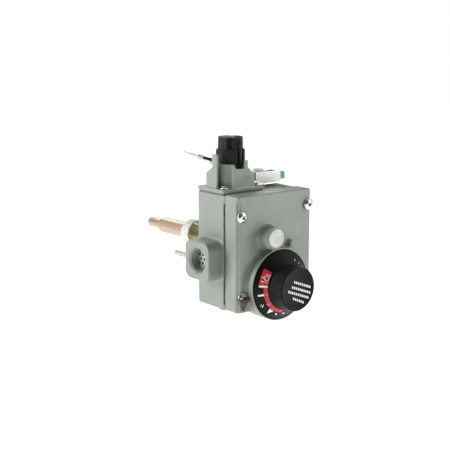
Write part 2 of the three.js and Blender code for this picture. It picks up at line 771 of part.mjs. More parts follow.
function makeSafetyValve() {
  const top = SAFETY.discTop;
  const profile = [
    [0, SAFETY.armature],
    [4, SAFETY.armature],
    [4, SAFETY.armature + 1.2],
    [1.4, SAFETY.armature + 1.2],
    [1.4, top - 1.5],
    [6.2, top - 1.5],
    [6.2, top],
    [0, top],
  ];
  return turned("z", cockAxis, profile, 24);
}

const MAGNET_TOP = SAFETY.armature - PUSH - 0.3;

addPart("gas_knob", makeGasKnob(), blackPlastic);
addPart("knob_stem", makeKnobStem(), steel);
addPart("knob_spring", spring("z", cockAxis, 6.2, 0.45, [TOWER.well + 0.2, KNOB.waist - 2.9], 6), steel);
addPart("gas_cock_plug", makeCockPlug(), brass);
const driverSpan = [PLUG.top + SEAT, STEM_STEP - PUSH - 0.5];
addPart("cock_driver", pipe("z", cockAxis, 3.6, STEM + RUN, driverSpan, 20), steel);
addPart("cock_spring", spring("z", cockAxis, 5.6, 0.4, [PLUG.top + SEAT, 94.4], 4), steel);
addPart("safety_valve", makeSafetyValve(), steel);
addPart("safety_spring", spring("z", cockAxis, 5.1, 0.3, [MAGNET_TOP + 0.1, SAFETY.top - 1.9], 4), steel);
const magnetSpan = [SAFETY.bottom + SEAT, MAGNET_TOP];
addPart("safety_magnet", rod("z", cockAxis, SAFETY.bore - SEAT, magnetSpan, 24), brightSteel);

// ------------------------------------------------ thermostat: probe, shank, lever, main valve

function makeShank() {
  const { thread, rear, hex, bossBack, shelf, front, collarFront, collarBack } = SHANK;
  const outer = join(
    rod("y", probeAxis, thread, [front + 1, bossBack + 1], 24),
    hexRod("y", probeAxis, hex, [bossBack + SEAT, collarFront - SEAT]),
    rod("y", probeAxis, rear, [collarFront - 1, collarBack - SEAT], 24),
  );
  const tubeBore = rod("y", probeAxis, PROBE.radius + SEAT, [shelf, collarBack + 1], 24);
  return cut(outer, tubeBore, rod("y", probeAxis, 3.2, [front, shelf + 1], 24));
}

function makeProbeTube() {
  const { radius, wall, tip, step, end } = PROBE;
  const front = SHANK.shelf + SEAT;
  const profile = [
    [0, end],
    [tip - 1.2, end],
    [tip, end - 1.2],
    [tip, step + 1.4],
    [radius, step],
    [radius, front],
    [radius - wall, front],
    [radius - wall, step - wall],
    [tip - wall, step + 0.8],
    [tip - wall, end - 2 * wall],
    [0, end - 2 * wall],
  ];
  return turned("y", probeAxis, profile, 24);
}

function makeRearStud() {
  const { radius, front, end } = STUD;
  const profile = [[0, front], [radius, front], [radius, end - 0.6], [radius - 0.6, end], [0, end]];
  return turned("y", studAxis, profile, 20);
}

function makeSnapDisc() {
  return turned("y", probeAxis, [[0, 20.4], [4, 20.7], [8, 21.4], [8, 21.9], [4, 21.2], [0, 20.9]], 28);
}

function makeLever() {
  const { pivotX, pivotY, bottom, top, front, back } = LEVER;
  const end = MAIN_VALVE.x + 4;
  const arm = block([pivotX, end], [front, back], [bottom, top - 0.5]);
  const knuckle = rod("z", [pivotX, pivotY], 2, [bottom - 0.5, top + 0.5], 20);
  return cut(
    join(arm, knuckle),
    rod("z", [pivotX, pivotY], 1.1, [bottom - 2, top + 2], 16),
    rod("y", [MAIN_VALVE.x, MAIN_VALVE.z], 2, [front - 1, back + 1], 16),
  );
}

function makeMainValveDisc() {
  const { x, z, radius, front, back } = MAIN_VALVE;
  const seat = CHAMBER_BACK - SEAT;
  const profile = [
    [0, front],
    [3, front],
    [3, front + 1],
    [1.4, front + 1],
    [1.4, seat - 1.5],
    [radius, seat - 1.5],
    [radius, seat],
    [1.4, seat],
    [1.4, back],
    [0, back],
  ];
  return turned("y", [x, z], profile, 28);
}

addPart("thermostat_shank", makeShank(), brass);
const collarSpan = [SHANK.collarFront, SHANK.collarBack];
const collar = pipe("y", probeAxis, SHANK.collar, SHANK.rear + SEAT, collarSpan, 28);
addPart("shank_thread_collar", collar, whiteSealant);
addPart("probe_tube", makeProbeTube(), copper);
addPart("thermostat_rod", rod("y", probeAxis, 1.6, [CHAMBER_BACK + SEAT, PROBE.end - 2], 16), steel);
addPart("eco_fuse", rod("y", [PROBE.x, PROBE.z + 3.5], 1.4, [108, 126], 12), palePlastic);
addPart("rear_stud", makeRearStud(), steel);
addPart("snap_disc", makeSnapDisc(), steel);
addPart("thermostat_lever", makeLever(), brightSteel);
addPart("lever_pin", rod("z", [LEVER.pivotX, LEVER.pivotY], 1, [34.5, 51.5], 16), steel);
addPart("main_valve_disc", makeMainValveDisc(), darkRubber);
const mainValveSpringSpan = [COVER_WALL + SEAT, MAIN_VALVE.front - SEAT];
const mainValveSpring = spring("y", [MAIN_VALVE.x, MAIN_VALVE.z], 3.2, 0.4, mainValveSpringSpan, 6);
addPart("main_valve_spring", mainValveSpring, steel);

// ------------------------------------------------ ports: inlet screen, tube nuts

function makeInletScreen() {
  const disc = rod("x", portAxis, PORT.bore - 0.15, [-6.6, -5.8], 24);
  const pitch = 3.7;
  const holes = [];
  for (let row = -2; row <= 2; row += 1) {
    for (let column = -2; column <= 2; column += 1) {
      const y = pitch * (column + 0.5 * Math.abs(row % 2));
      const z = pitch * 0.866 * row;
      if (Math.hypot(y, z) < 6.6) {
        holes.push(rod("x", [PORT.y + y, PORT.z + z], 1.1, [-8, -5], 6));
      }
    }
  }
  return cut(disc, ...holes);
}

function makeTubeNut({ x, y, bore }) {
  const drop = -1.5 - SEAT;
  const head = hexRod("z", [x, y], 10, [drop - 2.8, drop]);
  const thread = rod("z", [x, y], bore - SEAT, [drop - 0.5, 10], 20);
  return cut(join(head, thread), rod("z", [x, y], 1.7, [drop - 4, 11], 16));
}

addPart("inlet_screen", makeInletScreen(), steel);
addPart("pilot_nut", makeTubeNut(PILOT), brass);
addPart("thermocouple_nut", makeTubeNut(THERMOCOUPLE), brass);

// ------------------------------------------------ piezo igniter: channel, body, plunger, lead

function makeIgniterBracket() {
  const { left, right, front, back, bottom, top } = CASE;
  const t = BRACKET_THICKNESS;
  const earY = [18.6, 26.4];
  const earZ = [FLANGE.top + SEAT, FLANGE.top + SEAT + t];
  const footZ = [bottom - t, bottom];
  const riserX = [FLANGE.right + 0.3, FLANGE.right + 0.3 + t];
  const bracket = join(
    plate("z", roundedOutline([31.8, riserX[1]], earY, 3), earZ),
    block([38, riserX[1]], earY, earZ),
    block(riserX, [earY[0], back], [footZ[0], earZ[1]]),
    block([riserX[0], right], [front, back], footZ),
    block([left, right], [front, front + 0.8], [bottom - 0.4, top]),
    block([left, right], [back - 0.8, back], [bottom - 0.4, top]),
  );
  const { x, y } = HOUSING_SCREWS[1];
  return cut(bracket, rod("z", [x, y], 1.9, [FLANGE.top, FLANGE.top + 2], 16));
}

function makeIgniterBody() {
  const { left, right, front, back, bottom, top } = CASE;
  const shell = block([left + 0.4, right - 0.6], [front + 0.9, back - 0.9], [bottom + SEAT, top - 0.7]);
  const bore = block(
    [56, right + 1],
    [PLUNGER.front - RUN, PLUNGER.back + RUN],
    [PLUNGER.bottom - RUN, PLUNGER.top + 0.2],
  );
  return cut(shell, bore, rod("x", HAMMER_AXIS, 2.6, [45.6, 57], 16));
}

function makePlunger() {
  const { end, bottom, top, front, back } = PLUNGER;
  return plate("x", roundedOutline([front, back], [bottom, top], 0.8), [61.6, end], 0.5);
}

function makeIgniterClip() {
  const { top } = CASE;
  const outline = polygon([
    [43, SEAT],
    [55, SEAT],
    [55, 0.8],
    [52.5, 0.8],
    [51.5, 3],
    [46, 3],
    [45, 0.8],
    [43, 0.8],
  ]);
  return plate("y", outline, [32, 38]).translate([0, 0, top - 0.7]);
}

addPart("igniter_bracket", makeIgniterBracket(), brightSteel);
addPart("igniter_body", makeIgniterBody(), blackPlastic);
addPart("igniter_plunger", makePlunger(), greenPlastic);
addPart("plunger_spring", spring("x", HAMMER_AXIS, 2.1, 0.3, [56.2, 61.4], 4), steel);
addPart("igniter_hammer", rod("x", HAMMER_AXIS, 2.2, [48, 55.6], 16), steel);
addPart("igniter_clip", makeIgniterClip(), palePlastic);

// The high-voltage lead leaves the back of the igniter and passes behind the tower, held by a clip there.
const LEAD_ROUTE = [
  [47, 40.4, 94.5],
  [46.9, 43, 94.5],
  [45.6, 46.2, 94.8],
  [42, 48.4, 95.8],
  [37, 49.2, 97.8],
  [31, 49.3, 100.6],
  [25, 49.2, 104],
  [20.5, 49, 107],
  [16.5, 49, 108.8],
  [13, 50.3, 109.8],
  [9.1, 53.9, 111.2],
];
const LEAD_END = LEAD_ROUTE[LEAD_ROUTE.length - 1];
const LEAD_WAY = new THREE.Vector3(-0.754, 0.594, 0.28).normalize();

// Geometry built along +Y from zero, laid from the lead's end along the lead's last direction.
function beyondLead(geometry) {
  geometry.applyQuaternion(new THREE.Quaternion().setFromUnitVectors(new THREE.Vector3(0, 1, 0), LEAD_WAY));
  geometry.translate(...LEAD_END);
  return toSolid(geometry);
}

function makeLeadSleeve() {
  const profile = [[0, 0.3], [1.5, 0.3], [1.7, 0.8], [1.7, 4], [1.2, 4.8], [0, 4.8]];
  const points = profile.map(([radius, place]) => new THREE.Vector2(radius, place));
  return beyondLead(new THREE.LatheGeometry(points, 16));
}

function makeLeadTerminal() {
  const half = [[1, 5.1], [1.5, 7], [1.5, 9], [0.9, 10.6], [0.9, 15.4]];
  const outline = polygon([...half, ...half.map(([across, along]) => [-across, along]).reverse()]);
  const geometry = new THREE.ExtrudeGeometry(outline, { depth: 0.8, bevelEnabled: false });
  geometry.translate(0, 0, -0.4);
  return beyondLead(geometry);
}

function makeLeadClip() {
  const back = TOWER.back + SEAT;
  const loop = [back, back + 4.6];
  const strap = block(CLIP.x, [back, back + CLIP.wall], [CLIP.bottom, 107]);
  const eye = block(CLIP.x, loop, [CLIP.top - 4.6, CLIP.top]);
  const lead = tubeAlong(LEAD_ROUTE, LEAD_RADIUS + 0.3, 60);
  return cut(join(strap, eye), lead, rod("y", clipScrew, 1.3, [back - 1, back + 2], 12));
}

addPart("igniter_lead", tubeAlong(LEAD_ROUTE, LEAD_RADIUS, 28), wireJacket);
addPart("lead_sleeve", makeLeadSleeve(), palePlastic);
addPart("lead_terminal", makeLeadTerminal(), zinc);
addPart("lead_clip", makeLeadClip(), steel);
const clipFace = TOWER.back + CLIP.wall + 2 * SEAT;
addPart("lead_clip_screw", panScrew("y", clipScrew, 2.2, 1, clipFace, -1, 6), zinc);

export default valve;
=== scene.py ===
"""A water-heater gas control valve: looks, camera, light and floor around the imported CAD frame."""

import math
from functools import reduce

import bpy
import numpy as np
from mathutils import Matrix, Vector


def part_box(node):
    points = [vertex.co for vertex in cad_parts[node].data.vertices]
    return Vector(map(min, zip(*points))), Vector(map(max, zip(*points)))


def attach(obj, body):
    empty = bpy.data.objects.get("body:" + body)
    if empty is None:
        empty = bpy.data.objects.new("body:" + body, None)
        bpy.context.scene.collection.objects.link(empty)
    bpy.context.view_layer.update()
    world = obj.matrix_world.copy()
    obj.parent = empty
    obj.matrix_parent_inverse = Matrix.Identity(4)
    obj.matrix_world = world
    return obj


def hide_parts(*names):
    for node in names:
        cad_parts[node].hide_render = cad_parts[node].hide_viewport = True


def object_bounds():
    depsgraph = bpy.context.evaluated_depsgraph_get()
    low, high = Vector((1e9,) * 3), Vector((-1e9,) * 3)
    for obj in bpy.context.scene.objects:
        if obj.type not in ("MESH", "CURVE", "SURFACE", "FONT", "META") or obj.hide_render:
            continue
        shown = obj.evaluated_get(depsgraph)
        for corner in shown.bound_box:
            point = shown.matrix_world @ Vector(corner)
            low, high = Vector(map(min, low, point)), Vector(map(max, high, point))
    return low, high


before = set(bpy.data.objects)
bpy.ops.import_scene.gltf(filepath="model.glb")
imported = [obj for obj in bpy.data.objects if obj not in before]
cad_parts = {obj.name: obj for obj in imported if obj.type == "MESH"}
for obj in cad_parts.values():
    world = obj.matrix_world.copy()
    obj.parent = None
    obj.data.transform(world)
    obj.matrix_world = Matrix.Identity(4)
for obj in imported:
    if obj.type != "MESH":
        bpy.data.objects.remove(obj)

import openvdb
from mathutils import Vector

cad_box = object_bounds()

# ---------- places
# Sizes below are millimetres in the casting's own frame: x from its left face, y from the cover's face back
# towards the tank, z up from its underside. The cover gives where that frame lies in the row frame.

MM = 0.001
COVER_DEPTH = 15.9
COVER_HEIGHT = 88.0
WIDTH = 72.0
BODY_FRONT, BODY_BACK, BODY_TOP = 17.2, 48.0, 87.2

cover_low, cover_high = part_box("front_cover")
ORIGIN = np.array([
    cover_low.x,
    cover_high.y - COVER_DEPTH * MM,
    cover_high.z - COVER_HEIGHT * MM,
])


def place(points):
    """Points of the casting's frame, in millimetres, as row-frame metres."""
    return ORIGIN + np.asarray(points, float) * MM


DIAL = (35.7, 19.0)
REGULATOR = (27.8, 55.8)
TEST_PORT = (50.7, 48.0)
PORT = (31.9, 37.3)
OUTLET = (52.0, 32.2)
PROBE = (28.0, 44.8)
COCK = (19.0, 32.5)
STUD = (6.0, 32.2)
PILOT_NUTS = ((14.0, 32.0), (29.0, 32.0))
COVER_SCREWS = ((3.2, 73.0), (69.0, 76.0), (4.0, 12.0), (67.6, 12.0))
HOUSING_SCREWS = ((3.6, 20.8), (35.6, 22.5), (35.6, 42.5))
POINTER_ANGLE_DEGREES = -84


# ---------- materials

# Blender's colour Mix node shares its socket names with the number and vector kinds, so these go by place.
MIX_A, MIX_B, MIX_RESULT = 6, 7, 2


class Nodes:
    """A short way to write a material's node tree."""

    def __init__(self, name):
        self.material = bpy.data.materials.new(name)
        self.material.use_nodes = True
        self.tree = self.material.node_tree
        self.shader = self.tree.nodes["Principled BSDF"]
        self.coords = self.tree.nodes.new("ShaderNodeTexCoord").outputs["Object"]

    def set(self, **values):
        for key, value in values.items():
            self.shader.inputs[key.replace("_", " ")].default_value = value

    def link(self, a, b):
        self.tree.links.new(a, b)

    def noise(self, scale, detail, rough=0.55, stretch=None, distortion=0.0):
        node = self.tree.nodes.new("ShaderNodeTexNoise")
        node.inputs["Scale"].default_value = scale
        node.inputs["Detail"].default_value = detail
        node.inputs["Roughness"].default_value = rough
        node.inputs["Distortion"].default_value = distortion
        where = self.coords
        if stretch:
            mapping = self.tree.nodes.new("ShaderNodeMapping")
            mapping.inputs["Scale"].default_value = stretch
            self.link(where, mapping.inputs["Vector"])
            where = mapping.outputs["Vector"]
        self.link(where, node.inputs["Vector"])
        return node.outputs["Fac"]

    def ramp(self, factor, stops):
        node = self.tree.nodes.new("ShaderNodeValToRGB")
        while len(node.color_ramp.elements) < len(stops):
            node.color_ramp.elements.new(0.5)
        for element, (position, colour) in zip(node.color_ramp.elements, stops):
            element.position = position
            element.color = (*colour, 1.0)
        self.link(factor, node.inputs["Fac"])
        return node.outputs["Color"]

    def scaled(self, factor, low, high):
        node = self.tree.nodes.new("ShaderNodeMapRange")
        node.inputs["To Min"].default_value = low
        node.inputs["To Max"].default_value = high
        self.link(factor, node.inputs["Value"])
        return node.outputs["Result"]

    def mix(self, factor, socket, colour):
        """Goes from the socket's colour to a fixed one as factor rises."""
        node = self.tree.nodes.new("ShaderNodeMix")
        node.data_type = "RGBA"
        node.inputs[MIX_B].default_value = (*colour, 1.0)
        self.link(factor, node.inputs["Factor"])
        self.link(socket, node.inputs[MIX_A])
        return node.outputs[MIX_RESULT]

    def pointiness(self):
        return self.tree.nodes.new("ShaderNodeNewGeometry").outputs["Pointiness"]

    def colour(self, socket):
        self.link(socket, self.shader.inputs["Base Color"])

    def roughness(self, socket):
        self.link(socket, self.shader.inputs["Roughness"])

    def bump(self, socket, strength, distance):
        node = self.tree.nodes.new("ShaderNodeBump")
        node.inputs["Strength"].default_value = strength
        node.inputs["Distance"].default_value = distance
        previous = self.shader.inputs["Normal"]
        if previous.links:
            self.link(previous.links[0].from_socket, node.inputs["Normal"])
        self.link(socket, node.inputs["Height"])
        self.link(node.outputs["Normal"], previous)


def cast_metal():
    """Die-cast alloy: a fine matt grain, faint flow clouds, and edges rubbed brighter."""
    n = Nodes("cast_alloy")
    n.set(Metallic=0.35, Specular_IOR_Level=0.4)
    clouds = n.noise(38, 5, 0.6, distortion=0.3)
    grain = n.noise(1500, 2, 0.7)
    base = n.ramp(clouds, [(0.35, (0.262, 0.288, 0.256)), (0.65, (0.3, 0.326, 0.293))])
    edge = n.ramp(n.pointiness(), [(0.56, (0, 0, 0)), (0.72, (1, 1, 1))])
    n.colour(n.mix(edge, base, (0.42, 0.45, 0.41)))
    n.roughness(n.scaled(grain, 0.46, 0.66))
    n.bump(n.noise(300, 3, 0.6), 0.2, 0.0002)
    n.bump(grain, 0.2, 0.00008)
    return n.material


def even_finish(name, tint, rough, relief, settings=()):
    """A finish of three noises. tint, rough and relief each start with what Nodes.noise takes. The colour
    stops, the roughness range, or the bump's strength and distance follow."""
    n = Nodes(name)
    n.set(**dict(settings))
    n.colour(n.ramp(n.noise(*tint[0]), tint[1:]))
    n.roughness(n.scaled(n.noise(*rough[0]), *rough[1:]))
    n.bump(n.noise(*relief[0]), *relief[1:])
    return n.material


def drawn_copper():
    """Pale drawn copper: long streaks, fingerprint tarnish."""
    n = Nodes("copper")
    n.set(Metallic=0.75)
    streaks = n.noise(1.0, 4, 0.6, (500, 28, 500))
    patches = n.noise(70, 4, 0.6)
    base = n.ramp(streaks, [(0.3, (0.38, 0.265, 0.18)), (0.7, (0.53, 0.405, 0.3))])
    n.colour(n.mix(n.scaled(patches, 0.0, 0.5), base, (0.48, 0.41, 0.33)))
    n.roughness(n.scaled(patches, 0.32, 0.5))
    n.bump(streaks, 0.12, 0.00006)
    return n.material


# Noises used more than once, then what fibrous and printed surfaces share, then the rows of even_finish.
ROLLING = (1.0, 3, 0.6, (60, 900, 900))
TURNING = (1.0, 2, 0.5, (80, 2600, 80))
MOTTLE = (420, 4, 0.65)
FIBROUS = (((900, 2), 0.75, 0.95), ((1500, 3), 0.4, 0.0001))
PRINTED = (((900, 2), 0.4, 0.55), ((2500, 2), 0.1, 0.00002))
EVEN_FINISHES = {
    "bright_steel": (
        (ROLLING, (0.3, (0.5, 0.51, 0.47)), (0.7, (0.66, 0.66, 0.62))),
        (ROLLING, 0.28, 0.42), (ROLLING, 0.12, 0.00005),
        {"Metallic": 0.9},
    ),
    "cap_alloy": (
        (MOTTLE, (0.3, (0.46, 0.48, 0.46)), (0.7, (0.62, 0.64, 0.62))),
        (MOTTLE, 0.35, 0.5), ((900, 3), 0.2, 0.0001),
        {"Metallic": 0.35},
    ),
    "brass": (
        ((120, 5, 0.65), (0.35, (0.12, 0.105, 0.055)), (0.7, (0.34, 0.29, 0.14))),
        (TURNING, 0.24, 0.42), (TURNING, 0.25, 0.00008),
        {"Metallic": 1.0},
    ),
    "zinc_plate": (
        ((300, 3), (0.35, (0.62, 0.62, 0.6)), (0.7, (0.78, 0.78, 0.76))),
        ((700, 2), 0.12, 0.28), ((900, 2), 0.12, 0.00005),
        {"Metallic": 1.0},
    ),
    "steel": (
        ((200, 4), (0.3, (0.42, 0.42, 0.42)), (0.7, (0.56, 0.56, 0.55))),
        ((600, 3), 0.3, 0.5), ((1100, 2), 0.1, 0.00005),
        {"Metallic": 1.0},
    ),
    "black_plastic": (
        ((160, 4), (0.3, (0.004, 0.004, 0.0042)), (0.7, (0.008, 0.008, 0.0085))),
        ((500, 3), 0.3, 0.45), ((1800, 2), 0.16, 0.00005),
        {"IOR": 1.45, "Specular_IOR_Level": 0.16},
    ),
    "charcoal_plastic": (
        ((220, 4), (0.3, (0.006, 0.0062, 0.0065)), (0.7, (0.012, 0.0125, 0.013))),
        ((900, 3), 0.42, 0.6), ((2200, 2), 0.3, 0.00006),
        {"IOR": 1.45, "Specular_IOR_Level": 0.28},
    ),
    "gasket": (
        ((400, 4), (0.3, (0.012, 0.012, 0.012)), (0.7, (0.03, 0.03, 0.03))),
        *FIBROUS,
    ),
    "fibre_sheet": (
        ((500, 4), (0.3, (0.13, 0.135, 0.125)), (0.7, (0.2, 0.205, 0.19))),
        *FIBROUS,
    ),
    "green_plastic": (
        ((260, 3), (0.3, (0.045, 0.36, 0.235)), (0.7, (0.085, 0.46, 0.32))),
        ((800, 2), 0.28, 0.4), ((1600, 2), 0.15, 0.00005),
        {"IOR": 1.47, "Subsurface_Weight": 0.08, "Subsurface_Scale": 0.002},
    ),
    "pale_plastic": (
        ((300, 3), (0.3, (0.62, 0.63, 0.6)), (0.7, (0.76, 0.77, 0.74))),
        ((800, 2), 0.4, 0.55), ((1400, 2), 0.15, 0.00005),
    ),
    "thread_seal": (
        ((260, 5, 0.65), (0.3, (0.6, 0.6, 0.54)), (0.65, (0.78, 0.78, 0.74))),
        ((700, 3), 0.6, 0.85), ((700, 4, 0.65), 0.45, 0.00025),
    ),
    "seal_paint": (
        ((420, 4, 0.6), (0.3, (0.024, 0.006, 0.0035)), (0.7, (0.065, 0.018, 0.011))),
        ((500, 3), 0.3, 0.5), ((600, 4), 0.35, 0.0002),
        {"Coat_Weight": 0.4, "Coat_Roughness": 0.2},
    ),
    "wire_jacket": (
        ((300, 3), (0.3, (0.006, 0.006, 0.006)), (0.7, (0.014, 0.014, 0.014))),
        ((900, 2), 0.35, 0.5), ((1500, 2), 0.15, 0.00005),
    ),
    "red_ink": (
        ((900, 3), (0.35, (0.46, 0.014, 0.022)), (0.65, (0.58, 0.028, 0.036))),
        *PRINTED,
    ),
    "white_ink": (
        ((900, 3), (0.35, (0.78, 0.78, 0.78)), (0.65, (0.9, 0.9, 0.9))),
        *PRINTED,
    ),
}

MATERIAL = {name: even_finish(name, *row) for name, row in EVEN_FINISHES.items()}
MATERIAL |= {"cast_alloy": cast_metal(), "copper": drawn_copper()}


# ---------- mesh helpers

def linked(name, data):
    """A new object in the scene."""
    made = bpy.data.objects.new(name, data)
    bpy.context.scene.collection.objects.link(made)
    return made


def new_object(name, vertices, faces, material, body="casting", node=None, slot=None, smooth_angle=40):
    """A mesh piece in the row frame that rides on a body and may stand for a CAD node. The slot argument is
    not used. A smooth angle of None leaves no sharp edges."""
    mesh = bpy.data.meshes.new(name)
    mesh.from_pydata([tuple(v) for v in vertices], [], [tuple(f) for f in faces])
    mesh.validate()
    mesh.update()
    piece = linked(name, mesh)
    mesh.materials.append(MATERIAL[material])
    if smooth_angle is None:
        mesh.shade_smooth()
    else:
        mesh.set_sharp_from_angle(angle=math.radians(smooth_angle))
    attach(piece, body)
    if node:
        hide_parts(node)


def arc_points(centre, radius, start, end, steps=6):
    """Points of a profile fillet, in degrees, as (radius, place) pairs."""
    angles = np.radians(np.linspace(start, end, steps))
    return [(centre[0] + radius * math.cos(a), centre[1] + radius * math.sin(a)) for a in angles]


def turned_mesh(centre, profile, sides, wobble):
    """Vertices and faces of a piece turned about a line along Y at centre, an (x, z). The profile is
    (radius, y) pairs, and ends on the line or closes on itself. wobble gives a radius from the profile's,
    y and the angle."""
    points = list(profile)
    closed = points[0] == points[-1]
    if closed:
        points = points[:-1]
    angles = np.linspace(0, 2 * math.pi, sides, endpoint=False)
    vertices, rings = [], []
    for radius, y in points:
        if radius == 0:
            rings.append([len(vertices)])
            vertices.append((centre[0], y, centre[1]))
            continue
        rings.append(list(range(len(vertices), len(vertices) + sides)))
        for angle in angles:
            r = radius if wobble is None else wobble(radius, y, angle)
            vertices.append((centre[0] + r * math.sin(angle), y, centre[1] + r * math.cos(angle)))
    faces = []
    pairs = list(zip(rings, rings[1:]))
    if closed:
        pairs.append((rings[-1], rings[0]))
    for first, second in pairs:
        for i in range(sides):
            j = (i + 1) % sides
            if len(first) == 1:
                faces.append((first[0], second[j], second[i]))
            elif len(second) == 1:
                faces.append((first[i], first[j], second[0]))
            else:
                faces.append((first[i], first[j], second[j], second[i]))
    return np.array(vertices), faces


def outward(vertices, faces):
    """Faces in the order that makes the closed mesh's volume positive."""
    volume = 0.0
    for face in faces:
        a = vertices[face[0]]
        for k in range(1, len(face) - 1):
            volume += np.dot(a, np.cross(vertices[face[k]], vertices[face[k + 1]]))
    return faces if volume > 0 else [tuple(reversed(f)) for f in faces]


def turned_piece(name, node, centre, profile, material, sides, wobble=None, **riding):
    vertices, faces = turned_mesh(centre, profile, sides, wobble)
    new_object(name, place(vertices), outward(vertices, faces), material, node=node, **riding)


# ---------- smooth solids from distance fields

def smooth_min(a, b, k):
    """The smaller of two distances, blended over a width k."""
    if k <= 0:
        return np.minimum(a, b)
    h = np.clip(0.5 + 0.5 * (b - a) / k, 0, 1)
    return b + (a - b) * h - k * h * (1 - h)


def smooth_max(a, b, k):
    return -smooth_min(-a, -b, k)


def slab(values, span):
    """Signed distance to the space between two planes."""
    return np.abs(values - (span[0] + span[1]) / 2) - (span[1] - span[0]) / 2


def rounded(sides, radius):
    """Signed distance to what lies inside every one of some square-on sides, its edges rounded."""
    grown = [side + radius for side in sides]
    outside = np.sqrt(sum(np.maximum(side, 0) ** 2 for side in grown))
    return outside + np.minimum(reduce(np.maximum, grown), 0) - radius


SIXTHS = np.radians(np.arange(0, 360, 60))
# Keeps every face off the grid planes, where a distance of exactly zero has no clear side.
OFF_GRID = 0.0137


class Field:
    """A grid of points over a box, with distance functions of simple shapes on it, in millimetres."""

    def __init__(self, low, high, step):
        self.low, self.step = np.array(low, float) - OFF_GRID, step
        axes = [np.arange(a, b + step, step, dtype=np.float32) for a, b in zip(self.low, high)]
        self.x, self.y, self.z = np.meshgrid(*axes, indexing="ij", sparse=True)
        self.shape = tuple(len(a) for a in axes)

    def block(self, x, y, z, radius=0.0):
        """A box with rounded edges."""
        return rounded([slab(self.x, x), slab(self.y, y), slab(self.z, z)], radius)

    def axes(self, axis):
        """The two coordinates across an axis and the one along it."""
        x, y, z = self.x, self.y, self.z
        return {"x": (y, z, x), "y": (x, z, y), "z": (x, y, z)}[axis]

    def rod(self, axis, centre, radius, span, edge=0.0, slope=0.0):
        """A round bar with rounded ends. slope widens it along the axis, from its middle."""
        first, second, along = self.axes(axis)
        across = np.sqrt((first - centre[0]) ** 2 + (second - centre[1]) ** 2)
        middle = (span[0] + span[1]) / 2
        return rounded([across - radius - slope * (along - middle), slab(along, span)], edge)

    def prism(self, axis, outline, span, edge=0.0):
        """An outline pushed through along an axis, with rounded edges."""
        first, second, along = self.axes(axis)
        return rounded([self.polygon(first, second, outline), slab(along, span)], edge)

    def revolved(self, axis, centre, outline):
        """A turned solid whose section is an outline of (radius, place along the axis)."""
        first, second, along = self.axes(axis)
        across = np.sqrt((first - centre[0]) ** 2 + (second - centre[1]) ** 2)
        return self.polygon(across, along, outline)

    @staticmethod
    def polygon(px, py, outline):
        """Signed distance to a polygon."""
        points = np.array(outline, np.float32)
        nearest = None
        inside = None
        for (x0, y0), (x1, y1) in zip(points, np.roll(points, -1, axis=0)):
            ex, ey = x1 - x0, y1 - y0
            wx, wy = px - x0, py - y0
            t = np.clip((wx * ex + wy * ey) / (ex * ex + ey * ey), 0, 1)
            d = (wx - ex * t) ** 2 + (wy - ey * t) ** 2
            nearest = d if nearest is None else np.minimum(nearest, d)
            above, below = py >= y0, py < y1
            turn = ex * wy > ey * wx
            crossing = (above & below & turn) | (~above & ~below & ~turn)
            inside = crossing if inside is None else inside ^ crossing
        return np.sqrt(nearest) * np.where(inside, -1, 1)

    def rounded_bar(self, axis, first_span, second_span, corner, span, edge):
        """A bar with a rounded rectangular section and rounded ends."""
        first, second, along = self.axes(axis)
        flat = rounded([slab(first, first_span), slab(second, second_span)], corner)
        return rounded([flat, slab(along, span)], edge)

    def hexagon(self, axis, centre, across_flats, span, edge=0.0):
        """A hexagonal bar."""
        radius = across_flats / math.sqrt(3)
        corners = [(centre[0] + radius * math.cos(a), centre[1] + radius * math.sin(a)) for a in SIXTHS]
        return self.prism(axis, corners, span, edge)

    def about(self, centre, degrees):
        """The same grid turned about an upright axis, so that a shape drawn towards +X points elsewhere."""
        turned = Field.__new__(Field)
        c, s = math.cos(math.radians(degrees)), math.sin(math.radians(degrees))
        dx, dy = self.x - centre[0], self.y - centre[1]
        turned.x = centre[0] + dx * c + dy * s
        turned.y = centre[1] + dy * c - dx * s
        turned.z = self.z
        return turned

    def mesh(self, distance):
        """The vertices and faces of a distance field's zero surface."""
        values = np.broadcast_to(distance, self.shape).astype(np.float32)
        limit = 3 * self.step
        grid = openvdb.FloatGrid(background=limit)
        grid.copyFromArray(np.ascontiguousarray(np.clip(values, -limit, limit)))
        points, triangles, quads = grid.convertToPolygons(isovalue=0.0, adaptivity=0.0)
        return self.low + points * self.step, [*triangles, *quads]

    def piece(self, name, node, distance, material, **riding):
        """The field's surface as a smooth-shaded piece."""
        vertices, faces = self.mesh(distance)
        new_object(name, place(vertices), faces, material, node=node, smooth_angle=None, **riding)


def join(k, first, *rest):
    """Shapes joined, with a fillet of about k where they meet."""
    for other in rest:
        first = smooth_min(first, other, k)
    return first


def cut(k, first, *tools):
    """A shape with tools taken out of it, its new edges rounded by about k."""
    for tool in tools:
        first = smooth_max(first, -tool, k)
    return first


COARSER = 1


# ---------- camera, light and floor

CAMERA_PLACE = (-481.1, -587.8, 214.6)
CAMERA_AZIMUTH = -38.58
CAMERA_ELEVATION = 10.94
CAMERA_LENS = 84.87


def make_camera():
    data = bpy.data.cameras.new("camera")
    data.lens = CAMERA_LENS
    camera = linked("camera", data)
    camera.location = place(CAMERA_PLACE)
    camera.rotation_euler = (math.pi / 2 - math.radians(CAMERA_ELEVATION), 0, math.radians(CAMERA_AZIMUTH))
    bpy.context.scene.camera = camera


